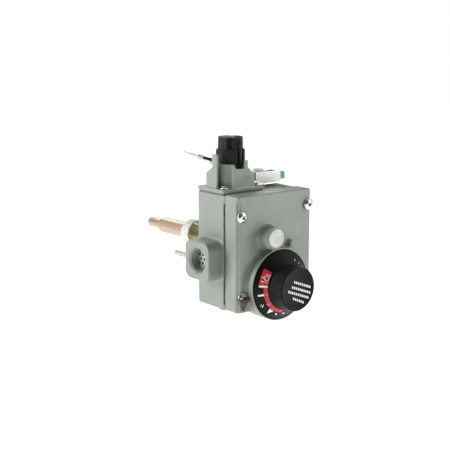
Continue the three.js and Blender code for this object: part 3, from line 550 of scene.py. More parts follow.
# The point the lamps shine on, the sky's grey from low to high and the side where it dims, and each
# lamp's name, offset in metres, size and power.
LIT_POINT = (36, 20, 50)
SKY_STOPS = ((0.25, 0.16), (0.95, 0.62))
DIM_SIDE = (-0.62, -0.76, 0.12)
DIM_FROM, DIM_TO = (0.2, 0.85), (1.0, 0.12)
LAMPS = (
    ("key", (-0.84, 0.4, 0.34), (0.4, 0.6), 6.8),
    ("front_fill", (0.8, -0.66, 0.32), (0.4, 0.5), 5),
    ("rear", (0.3, 0.8, 0.7), (0.6, 0.4), 4),
)


def map_range(tree, socket, old, new):
    """A Map Range node from one range to another."""
    node = tree.nodes.new("ShaderNodeMapRange")
    for name, value in zip(("From Min", "From Max", "To Min", "To Max"), (*old, *new)):
        node.inputs[name].default_value = value
    tree.links.new(socket, node.inputs["Value"])
    return node


def make_light():
    """A white studio, seen as white. It lights the valve softly, most from above and least from one side."""
    world = bpy.data.worlds.new("studio")
    world.use_nodes = True
    tree = world.node_tree
    seen = tree.nodes["Background"]
    seen.inputs["Color"].default_value = (1, 1, 1, 1)
    lighting = tree.nodes.new("ShaderNodeBackground")
    direction = tree.nodes.new("ShaderNodeTexCoord").outputs["Generated"]
    split = tree.nodes.new("ShaderNodeSeparateXYZ")
    height = map_range(tree, split.outputs["Z"], (-1, 1), (0, 1))
    ramp = tree.nodes.new("ShaderNodeValToRGB")
    for element, (position, grey) in zip(ramp.color_ramp.elements, SKY_STOPS):
        element.position = position
        element.color = (grey, grey, grey, 1)
    facing = tree.nodes.new("ShaderNodeVectorMath")
    facing.operation = "DOT_PRODUCT"
    facing.inputs[1].default_value = DIM_SIDE
    dimmed = map_range(tree, facing.outputs["Value"], DIM_FROM, DIM_TO)
    dimmed.interpolation_type = "SMOOTHSTEP"
    ray = tree.nodes.new("ShaderNodeLightPath")
    either = tree.nodes.new("ShaderNodeMixShader")
    for start, end in (
        (direction, split.inputs["Vector"]),
        (height.outputs["Result"], ramp.inputs["Fac"]),
        (ramp.outputs["Color"], lighting.inputs["Color"]),
        (direction, facing.inputs[0]),
        (dimmed.outputs["Result"], lighting.inputs["Strength"]),
        (ray.outputs["Is Camera Ray"], either.inputs["Fac"]),
        (lighting.outputs["Background"], either.inputs[1]),
        (seen.outputs["Background"], either.inputs[2]),
        (either.outputs["Shader"], tree.nodes["World Output"].inputs["Surface"]),
    ):
        tree.links.new(start, end)
    bpy.context.scene.world = world
    bpy.context.scene.view_settings.view_transform = "Standard"
    for name, offset, size, power in LAMPS:
        data = bpy.data.lights.new(name, "AREA")
        data.shape = "RECTANGLE"
        data.size, data.size_y = size
        data.energy = power
        light = linked(name, data)
        light.location = place(LIT_POINT) + np.array(offset)
        light.rotation_euler = Vector(-np.array(offset)).to_track_quat("-Z", "Y").to_euler()


FLOOR_DROP = 0.12
FLOOR_HALF = 4.0


def make_floor():
    """A pale floor well below the valve, which the tank holds up."""
    low = cad_box[0][2] - FLOOR_DROP
    mesh = bpy.data.meshes.new("floor")
    corners = [(FLOOR_HALF * x, FLOOR_HALF * y, low) for x, y in ((-1, -1), (1, -1), (1, 1), (-1, 1))]
    mesh.from_pydata(corners, [], [(0, 1, 2, 3)])
    floor = linked("floor", mesh)
    n = Nodes("floor_paper")
    n.set(Base_Color=(0.9, 0.9, 0.9, 1), Roughness=0.9)
    n.set(Emission_Color=(1, 1, 1, 1), Emission_Strength=0.62)
    mesh.materials.append(n.material)


make_camera()

# ---------- the igniter's lead, a stiff free wire

LEAD_RADIUS = 1.2
LEAD_ROUTE = [
    (47, 40.4, 94.5), (46.9, 43, 94.5), (45.6, 46.2, 94.8), (42, 48.4, 95.8), (37, 49.2, 97.8),
    (31, 49.3, 100.6), (25, 49.2, 104), (20.5, 49, 107), (16.5, 49, 108.8), (13, 50.3, 109.8),
    (9.1, 53.9, 111.2),
]


def smooth_line(points, steps=4):
    """A centripetal Catmull-Rom curve through the points."""
    knots = [np.array(p, float) for p in points]
    knots = [2 * knots[0] - knots[1], *knots, 2 * knots[-1] - knots[-2]]
    line = []
    for p0, p1, p2, p3 in zip(knots, knots[1:], knots[2:], knots[3:]):
        gaps = [math.sqrt(np.linalg.norm(b - a)) for a, b in ((p0, p1), (p1, p2), (p2, p3))]
        start = (p1 - p0) / gaps[0] - (p2 - p0) / (gaps[0] + gaps[1]) + (p2 - p1) / gaps[1]
        end = (p2 - p1) / gaps[1] - (p3 - p1) / (gaps[1] + gaps[2]) + (p3 - p2) / gaps[2]
        start, end = start * gaps[1], end * gaps[1]
        for t in np.linspace(0, 1, steps, endpoint=False):
            a = 2 * p1 - 2 * p2 + start + end
            b = -3 * p1 + 3 * p2 - 2 * start - end
            line.append(a * t**3 + b * t**2 + start * t + p1)
    line.append(knots[-2])
    return np.array(line)


def make_lead():
    line = place(smooth_line(LEAD_ROUTE))
    curve = bpy.data.curves.new("ignition_wire", "CURVE")
    curve.dimensions = "3D"
    curve.bevel_depth = LEAD_RADIUS * MM
    curve.bevel_resolution = 6
    curve.use_fill_caps = True
    spline = curve.splines.new("POLY")
    spline.points.add(len(line) - 1)
    for point, where in zip(spline.points, line):
        point.co = (*where, 1)
    wire = linked("ignition_wire", curve)
    curve.materials.append(MATERIAL["wire_jacket"])
    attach(wire, "casting")
    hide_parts("igniter_lead")


make_lead()
make_floor()
make_light()


# ---------- casting and cover

THREAD_PITCH = 1.8
THREAD_DEPTH = 0.3
TAPPED_RADIUS = 8.75
PORT_HALF = 14.7
PORT_FACE = -14
OUTLET_RADIUS = 14.5
OUTLET_FACE = -4.5
BACK_POCKETS = ((36, 49), (53, 66))
CAVITY = ((6, 66), (14, 22), (6, 80))
RISER_X = 7.5
LEVER_PIN = (16, 18.5)
GALLERY_Z = 79
FEED_Z = 61
MAIN_SEAT = (52, 42)


def threaded_rod(f, axis, centre, radius, span, pitch=THREAD_PITCH, depth=THREAD_DEPTH):
    """A round bar with a helical ridge, used as a tool to cut a tapped hole or as a bolt thread."""
    first, second, along = f.axes(axis)
    across = (second - centre[1], first - centre[0])
    angle = np.arctan2(*(reversed(across) if axis == "y" else across))
    ridge = depth * np.cos(2 * math.pi * along / pitch - angle)
    return f.rod(axis, centre, radius, span) - ridge


def body_openings(f):
    """What is taken out of the rear casting: pockets, gas passages, and the probe's and stud's seats."""
    pockets = [f.block(x, (34, 50), (62, 80), 2.2) for x in BACK_POCKETS]
    return [
        *pockets,
        f.block(*CAVITY, 1.5),
        # the port and the outlet, each threaded and with a chamfer at its mouth
        threaded_rod(f, "x", PORT, TAPPED_RADIUS, (-20, 9)),
        f.rod("x", PORT, 12.9, (-20, -12.2), slope=-1.11),
        threaded_rod(f, "z", OUTLET, TAPPED_RADIUS, (-10, 50)),
        f.rod("z", OUTLET, 12.55, (-10, -2.9), slope=-1.1),
        # the shank's seat and the way in from it for the probe's rod
        f.rod("y", PROBE, 9.6, (40, 64)),
        f.rod("y", PROBE, 5, (20, 42)),
        # the cock's plug, its valve seat and the safety valve's chamber
        f.rod("z", COCK, 7.7, (73, 90)),
        f.rod("z", COCK, 4, (68, 75)),
        f.rod("z", COCK, 7.9, (56, 70.5)),
        # up from the port and across to the cock, on to the cavity, and from there to the outlet
        f.rod("x", (PORT[0], GALLERY_Z), 2.6, (RISER_X, 12)),
        f.rod("z", (RISER_X, PORT[0]), 3.5, (PORT[1], 80)),
        f.rod("y", (COCK[0], FEED_Z), 3, (21, COCK[1])),
        f.rod("y", MAIN_SEAT, 5, (21, OUTLET[1])),
        f.rod("y", STUD, 2.6, (41, 53)),
    ]


def make_body():
    f = Field((-16, 15.4, -6.6), (74, 62.5, 89.4), 0.45 * COARSER)
    shape = f.rounded_bar("y", (0, WIDTH), (0, BODY_TOP), 1.0, (BODY_FRONT, BODY_BACK), 0.6)
    port_spans = [(middle - PORT_HALF, middle + PORT_HALF) for middle in PORT]
    shape = join(2.6, shape, f.rounded_bar("x", *port_spans, 6.5, (PORT_FACE, 6), 1.1))
    bosses = [
        f.rod("y", PROBE, 14, (40, 60), 1.2),
        f.rod("z", OUTLET, OUTLET_RADIUS, (OUTLET_FACE, 6), 1.0),
        *[f.rod("z", nut, 6.5, (-1.5, 6), 0.5) for nut in PILOT_NUTS],
        f.rod("y", STUD, 4.6, (44, 51.1), 0.6),
    ]
    shape = join(1.8, shape, *bosses)
    corner_pads = [(x, z) for x in ((0.4, 2.4), (WIDTH - 2.4, WIDTH - 0.4)) for z in ((1, 4), (81, 86.6))]
    for x, z in corner_pads:
        shape = join(0.2, shape, f.block(x, (COVER_DEPTH + 0.1, 19), z, 0.3))
    shape = cut(0.5, shape, *body_openings(f))
    small = [f.rod("z", nut, 3.7, (-4, 12)) for nut in PILOT_NUTS]
    small += [f.rod("y", screw, 1.75, (13, 30)) for screw in COVER_SCREWS]
    small += [f.rod("z", screw, 1.65, (80.5, 90)) for screw in HOUSING_SCREWS]
    shape = cut(0.1, shape, *small)
    lever_posts = join(0.1, *[f.block((13.8, 18.2), (16.6, 23), z, 0.4) for z in ((34, 39), (47, 52))])
    shape = join(0.4, shape, cut(0, lever_posts, f.rod("z", LEVER_PIN, 1.05, (33, 53))))
    f.piece("rear_casting", "valve_body", shape, "cast_alloy")


def make_cover():
    f = Field((-1.2, -11.2, -10.2), (73.4, 17.2, 89.4), 0.4 * COARSER)
    shape = f.block((0, WIDTH), (0, COVER_DEPTH), (0, COVER_HEIGHT), 1.5)
    shape = join(2.2, shape, f.rod("y", DIAL, 27.8, (-7, 9), 0.3))
    shape = join(2.6, shape, f.rod("y", REGULATOR, 8.8, (-10, 6), 0.8))
    shape = join(0.9, shape, f.rod("y", TEST_PORT, 3.6, (-0.9, 3), 0.6))
    corner_flute = f.rod("z", (-0.9, -0.9), 3.4, (-30, COVER_HEIGHT - 3), 1.6)
    shape = cut(1.0, shape, corner_flute)
    hollow = f.block((4, 68), (3.5, 30), (4, 84), 1.2)
    shape = cut(0.6, shape, hollow)
    posts = join(0.4, *[f.rod("y", screw, 5, (3, COVER_DEPTH)) for screw in COVER_SCREWS])
    posts = smooth_max(posts, f.block((0.6, 71.4), (2, COVER_DEPTH), (0.6, 87.4), 1.2), 0.2)
    dial_boss = f.rod("y", DIAL, 7, (2, 9), 0.5)
    regulator_boss = f.rod("y", REGULATOR, 13.6, (3, 8.6), 0.5)
    shape = join(0.8, shape, join(0.6, posts, dial_boss, regulator_boss))
    bores = [
        f.rod("y", DIAL, 26.8, (-20, -1), 0.3),
        f.rod("y", DIAL, 4.6, (-8, 12)),
        f.rod("y", REGULATOR, 6.3, (-20, 4.5)),
        f.rod("y", REGULATOR, 12.1, (3.5, 12)),
        f.rod("y", TEST_PORT, 1.8, (-5, 6)),
        *[f.rod("y", screw, 2, (-5, 20)) for screw in COVER_SCREWS],
    ]
    f.piece("cover_casting", "front_cover", cut(0.25, shape, *bores), "cast_alloy")


def make_plug():
    dome = arc_points((1.5, -2.6), 1.3, -90, 0)
    profile = [(0, -3.9), *dome, (2.8, -1.2), (1.7, -1.0), (1.7, 4), (0, 4)]
    turned_piece("test_plug", "test_port_plug", TEST_PORT, profile, "cast_alloy", 48)


def make_seal():
    """Lacquer over a cover screw's lower half, run down to a point below it."""
    f = Field((-1.2, -4, 1), (9.5, 0.8, 13.5), 0.16 * COARSER)
    outline = [(0.6, 10.4), (1.3, 7.0), (4.1, 1.9), (5.2, 1.9), (7.9, 7.0), (8.3, 10.6)]
    run = f.prism("y", outline, (-1.7, -0.05), 0.7)
    blob = join(1.2, run, f.rod("y", COVER_SCREWS[2], 4.9, (-3.5, -0.05), 0.9))
    ripple = 0.14 * np.sin(f.x * 2.9 + 1.3) * np.cos(f.z * 2.3 + 0.5)
    torn_edge = f.z - 12.1 + 0.5 * np.sin(f.x * 1.7)
    f.piece("lacquer_seal", "tamper_seal", smooth_max(blob + ripple, torn_edge, 0.5), "seal_paint")


# ---------- screws and nuts

# Each of these is a share of the head's radius, but SOCKET_FLOOR, which is a share of its height.
HEAD_RISE = 0.62
DOME = 1.55
SOCKET_ACROSS = 0.72
SOCKET_FLOOR = 0.36
SCREW_STEP = 0.045

MARGIN = 0.4


def screw_shape(head, shank, length):
    """A pan head with a hexagon socket, drawn with its seat at zero and its head up."""
    height = HEAD_RISE * head
    side = head + MARGIN
    f = Field((-side, -side, -length - MARGIN), (side, side, height + MARGIN), SCREW_STEP * head * COARSER)
    dome_radius = DOME * head
    shape = f.rod("z", (0, 0), head, (0, height), 0.3 * height)
    dome = np.sqrt(f.x**2 + f.y**2 + (f.z - height + dome_radius) ** 2) - dome_radius
    shape = smooth_max(shape, dome, 0.3)
    shape = join(0.15, shape, f.rod("z", (0, 0), shank, (-length, 0.5), 0.3))
    socket = f.hexagon("z", (0, 0), SOCKET_ACROSS * head, (SOCKET_FLOOR * height, height + 2))
    return f.mesh(cut(0.12, shape, socket))


def make_screw(name, node, axis, centre, seat, sense, drawn):
    """Lays a screw drawn head up so that its head points in the direction sense along the axis."""
    vertices, faces = drawn
    across, up, along = vertices[:, 0] + centre[0], vertices[:, 1] + centre[1], seat + sense * vertices[:, 2]
    vertices = np.stack([across, up, along] if axis == "z" else [across, along, up], 1)
    new_object(name, place(vertices), outward(vertices, faces), "zinc_plate", node=node, smooth_angle=35)


def make_screws():
    cover = screw_shape(4.4, 1.6, 27)
    for i, screw in enumerate(COVER_SCREWS, 1):
        make_screw(f"cover_pan_screw_{i}", f"cover_screw_{i}", "y", screw, -0.1, -1, cover)
    housing = screw_shape(3.1, 1.5, 10)
    for i, screw in enumerate(HOUSING_SCREWS, 1):
        seat = EAR_TOP + 0.1 if i == EAR_SCREW else FLANGE_TOP + 0.1
        make_screw(f"flange_pan_screw_{i}", f"housing_screw_{i}", "z", screw, seat, 1, housing)
    clip = screw_shape(2.2, 1, 6)
    make_screw("clip_pan_screw", "lead_clip_screw", "y", CLIP_SCREW, 47.6, 1, clip)


def make_tube_nuts():
    names = (("pilot_hex_nut", "pilot_nut"), ("thermocouple_hex_nut", "thermocouple_nut"))
    for (name, node), (x, y) in zip(names, PILOT_NUTS):
        f = Field((x - 6.4, y - 6.4, -5), (x + 6.4, y + 6.4, 10.6), 0.22 * COARSER)
        hexagon = f.hexagon("z", (x, y), 10, (-4.4, -1.6))
        shape = smooth_max(hexagon, f.rod("z", (x, y), 5.5, (-4.4, -1.6), 0.5), 0.1)
        shape = join(0.1, shape, threaded_rod(f, "z", (x, y), 3.4, (-3, 10), 1.0, 0.15))
        f.piece(name, node, cut(0.3, shape, f.rod("z", (x, y), 1.7, (-8, 14))), "brass")


# ---------- regulator cap and temperature dial

def make_regulator_cap():
    rim, seat, skirt, back = 7.3, -10.1, 6.2, -6.6
    face = seat - 0.95
    profile = [
        (0, face), (5.2, face), (5.7, seat - 1.1),
        *arc_points((rim - 0.7, seat - 0.5), 0.6, -90, 0),
        (rim - 0.1, seat), (skirt, seat), (skirt, back), (0, back),
    ]
    turned_piece(
        "regulator_dome_cap", "regulator_cap", REGULATOR, profile, "cap_alloy", 96, slot="bright_steel"
    )


CONE = {"inner": 17.3, "outer": 26.3, "top": -14.0, "edge": -7.0}
GRIP_RADIUS = 16.85
GRIP_FRONT = -26.5
GRIP_FACE = GRIP_FRONT + 0.25
GRIP_FLUTES = 60
FLUTE_DEPTH = 0.3


def fluted(radius, h, angle):
    """Shallow flutes round the grip, which fade out at its two ends."""
    if abs(radius - GRIP_RADIUS) > 0.05:
        return radius
    fade = min(1.0, max(0.0, min(h - GRIP_FRONT - 1.2, CONE["top"] - 0.6 - h) / 0.8))
    return radius - FLUTE_DEPTH * fade * (0.5 + 0.5 * math.cos(GRIP_FLUTES * angle))


def make_dial():
    top, edge, inner, outer = CONE["top"], CONE["edge"], CONE["inner"], CONE["outer"]
    back, wall, floor = -5.4, GRIP_RADIUS - 2, GRIP_FRONT + 2.2
    bore, bore_end, hub, hub_back = 2.7, -22, 5.2, -4
    profile = [
        (0, GRIP_FACE), (14.2, GRIP_FACE), (14.8, GRIP_FRONT),
        *arc_points((GRIP_RADIUS - 0.9, GRIP_FRONT + 0.9), 0.9, -90, 0),
        *[(GRIP_RADIUS, h) for h in np.linspace(GRIP_FRONT + 1.3, top - 0.5, 12)],
        (inner + 0.1, top),
        (inner + 0.6, top + 0.25),
        *[(inner + (outer - inner) * t, top + (edge - top) * t) for t in np.linspace(0.12, 0.97, 8)],
        (outer, edge + 0.25), (outer, back), (outer - 1.6, back),
        (inner - 1.6, top + 2.2), (wall, top + 1.6), (wall, floor), (hub, floor),
        (hub, hub_back), (bore, hub_back), (bore, bore_end), (0, bore_end),
    ]
    sides = GRIP_FLUTES * 6
    turned_piece(
        "dial_moulding", "temperature_dial", DIAL, profile, "black_plastic", sides, fluted, body="dial"
    )


# Print on the dial's cone is laid out in radius and angle, the angle in degrees from +X towards +Z.

CONE_RUN = CONE["outer"] - CONE["inner"]
CONE_DROP = CONE["edge"] - CONE["top"]
CONE_SLANT = math.hypot(CONE_RUN, CONE_DROP)


def on_cone(radius, angle, lift):
    """A point on the cone, lifted off it by a few hundredths of a millimetre."""
    r = radius + lift * CONE_DROP / CONE_SLANT
    h = CONE["top"] + (radius - CONE["inner"]) * CONE_DROP / CONE_RUN - lift * CONE_RUN / CONE_SLANT
    return (DIAL[0] + r * math.cos(angle), h, DIAL[1] + r * math.sin(angle))


INK_ABOVE = 0.07
INK_BELOW = -0.05


class Print:
    """Ink strips on the cone and the dial's face, gathered into one thin mesh."""

    def __init__(self):
        self.vertices, self.faces = [], []

    def slab(self, edges, to_point):
        """A thin closed slab between two edges, each pair of edge places being one step along it."""
        base = len(self.vertices)
        for left, right in edges:
            for lift in (INK_ABOVE, INK_BELOW):
                self.vertices.append(to_point(*left, lift))
                self.vertices.append(to_point(*right, lift))
        last = base + 4 * (len(edges) - 1)
        for a in range(base, last, 4):
            b = a + 4
            self.faces += [
                (a, b, b + 1, a + 1),
                (a + 2, a + 3, b + 3, b + 2),
                (a, a + 2, b + 2, b),
                (a + 1, b + 1, b + 3, a + 3),
            ]
        self.faces += [(base, base + 1, base + 3, base + 2), (last, last + 2, last + 3, last + 1)]

    def stroke(self, path, widths):
        """A stroke along (radius, degrees) points, with a width at each point."""
        points = [(r, math.radians(a)) for r, a in path]
        edges = []
        for i, (r, a) in enumerate(points):
            (r0, a0), (r1, a1) = points[max(i - 1, 0)], points[min(i + 1, len(points) - 1)]
            run = np.array(((r1 - r0) * CONE_SLANT / CONE_RUN, (a1 - a0) * r))
            across = np.array((-run[1], run[0])) / np.linalg.norm(run) * widths[i] / 2
            shift = (across[0] * CONE_RUN / CONE_SLANT, across[1] / r)
            edges.append(((r + shift[0], a + shift[1]), (r - shift[0], a - shift[1])))
        self.slab(edges, on_cone)

    def sector(self, inner, outer, start, end):
        angles = np.radians(np.arange(start, end + 0.1, 3))
        self.slab([((outer, a), (inner, a)) for a in angles], on_cone)

    def dash(self, x0, x1, z, slope, height):
        """A dash on the grip's flat face."""
        def on_face(x, up, lift):
            return (x, GRIP_FACE - lift, z + slope * (x - x0) + up)
        self.slab([((x, height / 2), (x, -height / 2)) for x in (x0, x1)], on_face)

    def done(self, name, material):
        vertices = np.array(self.vertices)
        faces = outward(vertices, self.faces)
        new_object(name, place(vertices), faces, material, "dial", slot="black_plastic", smooth_angle=30)


def ring_path(radius, angle, size, turns=16):
    """A small circle round a place on the cone, as (radius, degrees) points."""
    path = []
    for t in np.linspace(0, 2 * math.pi, turns + 1):
        r = radius + size * math.cos(t) * CONE_RUN / CONE_SLANT
        path.append((r, angle + math.degrees(size * math.sin(t) / radius)))
    return path


RED_SECTORS = ((17.7, 23.5, 139, 172), (17.5, 20.6, 175, 262))

# Each stroke's two ends in radius and angle, and its widths there: bars, a triangle and ticks.
STROKES = (
    ((17.6, 173.5), (23.4, 173.5), (1.7, 1.7)),
    ((17.6, -168.5), (24.2, -168.5), (1.5, 1.5)),
    ((17.6, -144), (20.8, -144), (1.3, 1.3)),
    ((21, -126), (24.4, -126), (4.6, 0.4)),
    ((21.9, -110), (22.9, -106), (1.3, 1.3)),
    ((21.3, -92), (22.2, -88), (1.3, 1.3)),
    ((22.6, -148), (24.2, -143), (0.5, 0.5)),
    ((23.6, -150), (24.6, -147), (0.5, 0.5)),
)
RING_TICKS = (
    ((18.2, 163), (22.6, 164), (0.6, 0.6)),
    ((18.2, 147), (21.4, 148), (0.6, 0.6)),
    ((21.6, 156), (22.8, 156), (0.7, 0.7)),
)
RING_MARK = (19.9, 155, 1.7)
RING_WIDTH = 0.6
DOTS = ((20.9, 60), (21.2, 46), (21.6, 32), (22.4, 26))
DOT_HALF = 0.8

# Rows of dashes on the grip's face: first and last x, z at the first, and slope.
DASH_ROWS = ((32, 49, 25, -0.38), (30, 49, 21.4, -0.38), (26.3, 48, 18.6, -0.38), (31, 41.6, 12.8, -0.45))
DASH_PITCH = 1.9
DASH_LENGTH = 1.2


def make_dial_print():
    red = Print()
    for sector in RED_SECTORS:
        red.sector(*sector)
    red.done("dial_red_print", "red_ink")
    white = Print()
    ring = ring_path(*RING_MARK)
    paths = [([start, end], widths) for start, end, widths in STROKES]
    paths.append((ring, [RING_WIDTH] * len(ring)))
    paths += [([start, end], widths) for start, end, widths in RING_TICKS]
    for path, widths in paths:
        white.stroke(path, widths)
    for radius, angle in DOTS:
        white.stroke([(radius - DOT_HALF, angle), (radius + DOT_HALF, angle)], [0.7, 0.7])
    for first, last, z, slope in DASH_ROWS:
        for x in np.arange(first, last - 1.0, DASH_PITCH):
            white.dash(x, x + DASH_LENGTH, z + slope * (x - first), slope, DASH_PITCH)
    white.done("dial_white_print", "white_ink")


# ---------- gas cock tower and its knob

FLANGE_TOP = 91.2
SHOULDER = 101.8
FOOT = 89
WELL = 98.4
WELL_RADIUS = 12.1
TOWER_WALL = 1.8
TOWER_LEFT = 1
CLIP_SCREW = (16.1, 97)
ABOVE = 130  # past the top of the knob


def tower_marks(f):
    """Raised marks on the tower's two shoulders: a ring for off, a dot and a bar for the pilot setting."""
    off, pilot = (35.6, 99.4), (26.2, 98.8)
    ring = smooth_max(f.rod("x", off, 2.5, (0.65, 1.6)), -f.rod("x", off, 1.6, (-1, 3)), 0.1)
    dot = f.rod("y", pilot, 1.1, (17.6, 18.6))
    bar = f.block((pilot[0] - 4.1, pilot[0] - 3.1), (17.6, 18.6), (96.8, 100.8), 0.2)
    return [ring, dot, bar]


def tower_walls(f):
    """The tower above its flange: a solid back, a thin left lug, a front wing and the knob's round well."""
    base = [(11, 18), (30.8, 18), (30.8, 39), (24, 46.6), (8.6, 46.6), (TOWER_LEFT, 38.9), (TOWER_LEFT, 24)]
    mass = f.prism("z", base, (FOOT, SHOULDER), 0.5)
    lug = [
        (24, FOOT), (38.9, FOOT), (38.9, SHOULDER), (32, 106.8),
        (32, 116.4), (24.6, 116.4), (24.6, 115), (24, 114.6),
    ]
    mass = join(0.5, mass, f.prism("x", lug, (TOWER_LEFT, TOWER_LEFT + TOWER_WALL), 0.35))
    rear = [(TOWER_LEFT, 38), (19, 38), (19, 46.6), (8.6, 46.6), (TOWER_LEFT, 39)]
    mass = join(0.5, mass, f.prism("z", rear, (FOOT, SHOULDER), 0.5))
    wing = [
        (11, FOOT), (30.8, FOOT), (29.4, SHOULDER), (24.4, 106.4), (24.4, 111.4),
        (20.9, 111.4), (20.9, 105.6), (13.2, 105.6), (11, 109),
    ]
    mass = join(0.5, mass, f.prism("y", wing, (18, 25), 0.6))
    well = f.rod("z", COCK, WELL_RADIUS + TOWER_WALL, (FOOT, 109), 0.4)
    return join(0.3, mass, smooth_max(well, f.block((2, 13.2), (18, 33), (88, 112)), 0.1))


def open_corner(f):
    """The deep corner between the lug, the wing and the outside of the well's wall."""
    front = f.block((-6, 11), (10, 26.4), (FLANGE_TOP, 140))
    inside = f.block((TOWER_LEFT + TOWER_WALL, 11), (26, 33), (FLANGE_TOP, 140))
    return cut(0.6, join(0, front, inside), f.rod("z", COCK, WELL_RADIUS + TOWER_WALL, (80, 140)))


def pointer_track(f):
    """The space that the knob's pointer sweeps over the tower."""
    sweep = range(POINTER_ANGLE_DEGREES + 4, POINTER_ANGLE_DEGREES + 190, 12)
    turned = [f.about(COCK, angle).block((19, 32.4), (20.4, 44.6), (WELL, ABOVE)) for angle in sweep]
    track = smooth_max(join(0, *turned), f.rod("z", COCK, 13.4, (WELL, ABOVE)), 0.2)
    lid = f.prism("z", wedge(POINTER_ANGLE_DEGREES - 9, POINTER_ANGLE_DEGREES + 192, 40), (WELL, ABOVE))
    return smooth_max(track, lid, 0.2)


def wedge(start, end, radius):
    """A sector about the gas cock's axis, seen from above, in degrees."""
    rim = np.radians(np.linspace(start, end, 12))
    return [COCK] + [(COCK[0] + radius * math.cos(a), COCK[1] + radius * math.sin(a)) for a in rim]


def make_tower():
    f = Field((-0.9, 16.8, 87.2), (41, 49.8, 117.4), 0.28 * COARSER)
    flange = f.rounded_bar("z", (0, 40), (17.5, 48.6), 1.2, (88.1, FLANGE_TOP), 0.4)
    shape = join(1.1, flange, tower_walls(f))
    shape = cut(0.5, shape, open_corner(f))
    shape = cut(0.4, shape, f.rod("z", COCK, WELL_RADIUS, (WELL, ABOVE), 0.4), pointer_track(f))
    bores = [
        f.rod("z", COCK, 4.3, (86, 99)),
        f.rod("z", COCK, 7.4, (86, 94.6)),
        f.rod("y", CLIP_SCREW, 1.05, (40, 50)),
        *[f.rod("z", screw, 1.9, (86, 93)) for screw in HOUSING_SCREWS],
    ]
    shape = join(0.3, cut(0.2, shape, *bores), *tower_marks(f))
    f.piece("cock_tower_casting", "gas_cock_housing", shape, "cast_alloy")


def knob_grooves(f, bottom, waist, rib):
    """The grip's slots and finger grooves, and a groove along each side of the pointer."""
    x, y = COCK
    grooves = []
    for turn in (-132, -48, 48, 132):
        g = f.about(COCK, POINTER_ANGLE_DEGREES + turn)
        grooves.append(g.block((x + 7.2, x + 14), (y - 1.7, y + 1.7), (waist + 0.9, ABOVE + 1), 0.5))
    for turn in (-104, -76, 76, 104, 166, -166):
        g = f.about(COCK, POINTER_ANGLE_DEGREES + turn)
        grooves.append(g.rod("z", (x + 10.5, y), 1.2, (waist + 0.6, ABOVE + 1), 0.3))
    g = f.about(COCK, POINTER_ANGLE_DEGREES)
    for side in (-1, 1):
        middle = y + side * 2.3
        width = (middle - 0.9, middle + 0.9)
        grooves.append(g.block((x + 9.4, x + 14), width, (bottom + 4.6, rib - 2.5), 0.3))
    return grooves


def make_knob():
    f = Field((3.5, 17, 102.4), (34.5, 48, 130.2), 0.24 * COARSER)
    bottom, waist, top, rib = 103, 119.5, 128.5, 129.5
    skirt = [(0, bottom), (11, bottom), (11, waist - 0.9), (10.1, waist)]
    section = [*skirt, (9.6, waist), (9.4, top), (0, top)]
    shape = f.revolved("z", COCK, section)
    hollow = f.rod("z", COCK, 9, (bottom - 5, waist - 2.6))
    shape = cut(0.4, shape, hollow)
    hub = f.rod("z", COCK, 4.4, (bottom + 4, waist - 1))
    shape = join(0.3, shape, hub)
    shape = cut(0.35, shape, *knob_grooves(f, bottom, waist, rib))
    g = f.about(COCK, POINTER_ANGLE_DEGREES)
    x, y = COCK
    bar = g.block((x + 7.4, x + 11.3), (y - 1.1, y + 1.1), (bottom + 2, rib - 3.5), 0.35)
    bump = g.block((x + 6, x + 10), (y - 1.5, y + 1.5), (top - 2, rib), 0.5)
    foot = [(x + 9.8, y - 2.1), (x + 12, y - 1.2), (x + 12.8, y), (x + 12, y + 1.2), (x + 9.8, y + 2.1)]
    shape = join(0.3, shape, bar, bump, g.prism("z", foot, (bottom, bottom + 4.5), 0.2))
    stem_bore = f.rod("z", COCK, 3.1, (bottom, top - 3))
    shape = cut(0.2, shape, stem_bore)
    f.piece("knob_moulding", "gas_knob", shape, "charcoal_plastic", body="gas_knob", slot="black_plastic")


# ---------- shank, collar, probe and rear stud

SHANK_BORE = 6.45
COLLAR = {"bore": 8.75, "front": 85.6, "back": 95.9}
PROBE_RADIUS = 6.35


def make_shank():
    f = Field((16.8, 43, 33.6), (39.2, 97, 56), 0.32 * COARSER)
    span = (60.1, 85.5)
    hexagon = smooth_max(f.hexagon("y", PROBE, 18, span), f.rod("y", PROBE, 10, span, 1.2), 0.2)
    front_thread = threaded_rod(f, "y", PROBE, 9.1, (44, 61))
    shape = join(0.3, hexagon, front_thread, f.rod("y", PROBE, 8.5, (84, COLLAR["back"]), 0.3))
    shape = cut(0.2, shape, f.rod("y", PROBE, SHANK_BORE, (62, 100)), f.rod("y", PROBE, 3.2, (40, 64)))
    f.piece("shank_hexagon", "thermostat_shank", shape, "brass")


def threads(radius, h, angle):
    """Pipe thread filled with sealant, which leaves it soft and shallow."""
    if radius < 9.5:
        return radius
    uneven = 0.06 * math.sin(5 * angle + h) + 0.05 * math.sin(11 * angle - 2.1 * h)
    return radius + 0.22 * math.cos(2 * math.pi * h / THREAD_PITCH - angle) + uneven


def make_collar():
    bore, front, back = COLLAR["bore"], COLLAR["front"], COLLAR["back"]
    profile = [
        (bore, front), (9.7, front), (10.2, 86.1),
        *[(10.32 - 0.02 * (h - 86.5), h) for h in np.arange(86.5, 95.3, 0.2)],
        (9.6, back), (bore, back), (bore, front),
    ]
    turned_piece("sealed_pipe_thread", "shank_thread_collar", PROBE, profile, "thread_seal", 96, threads)


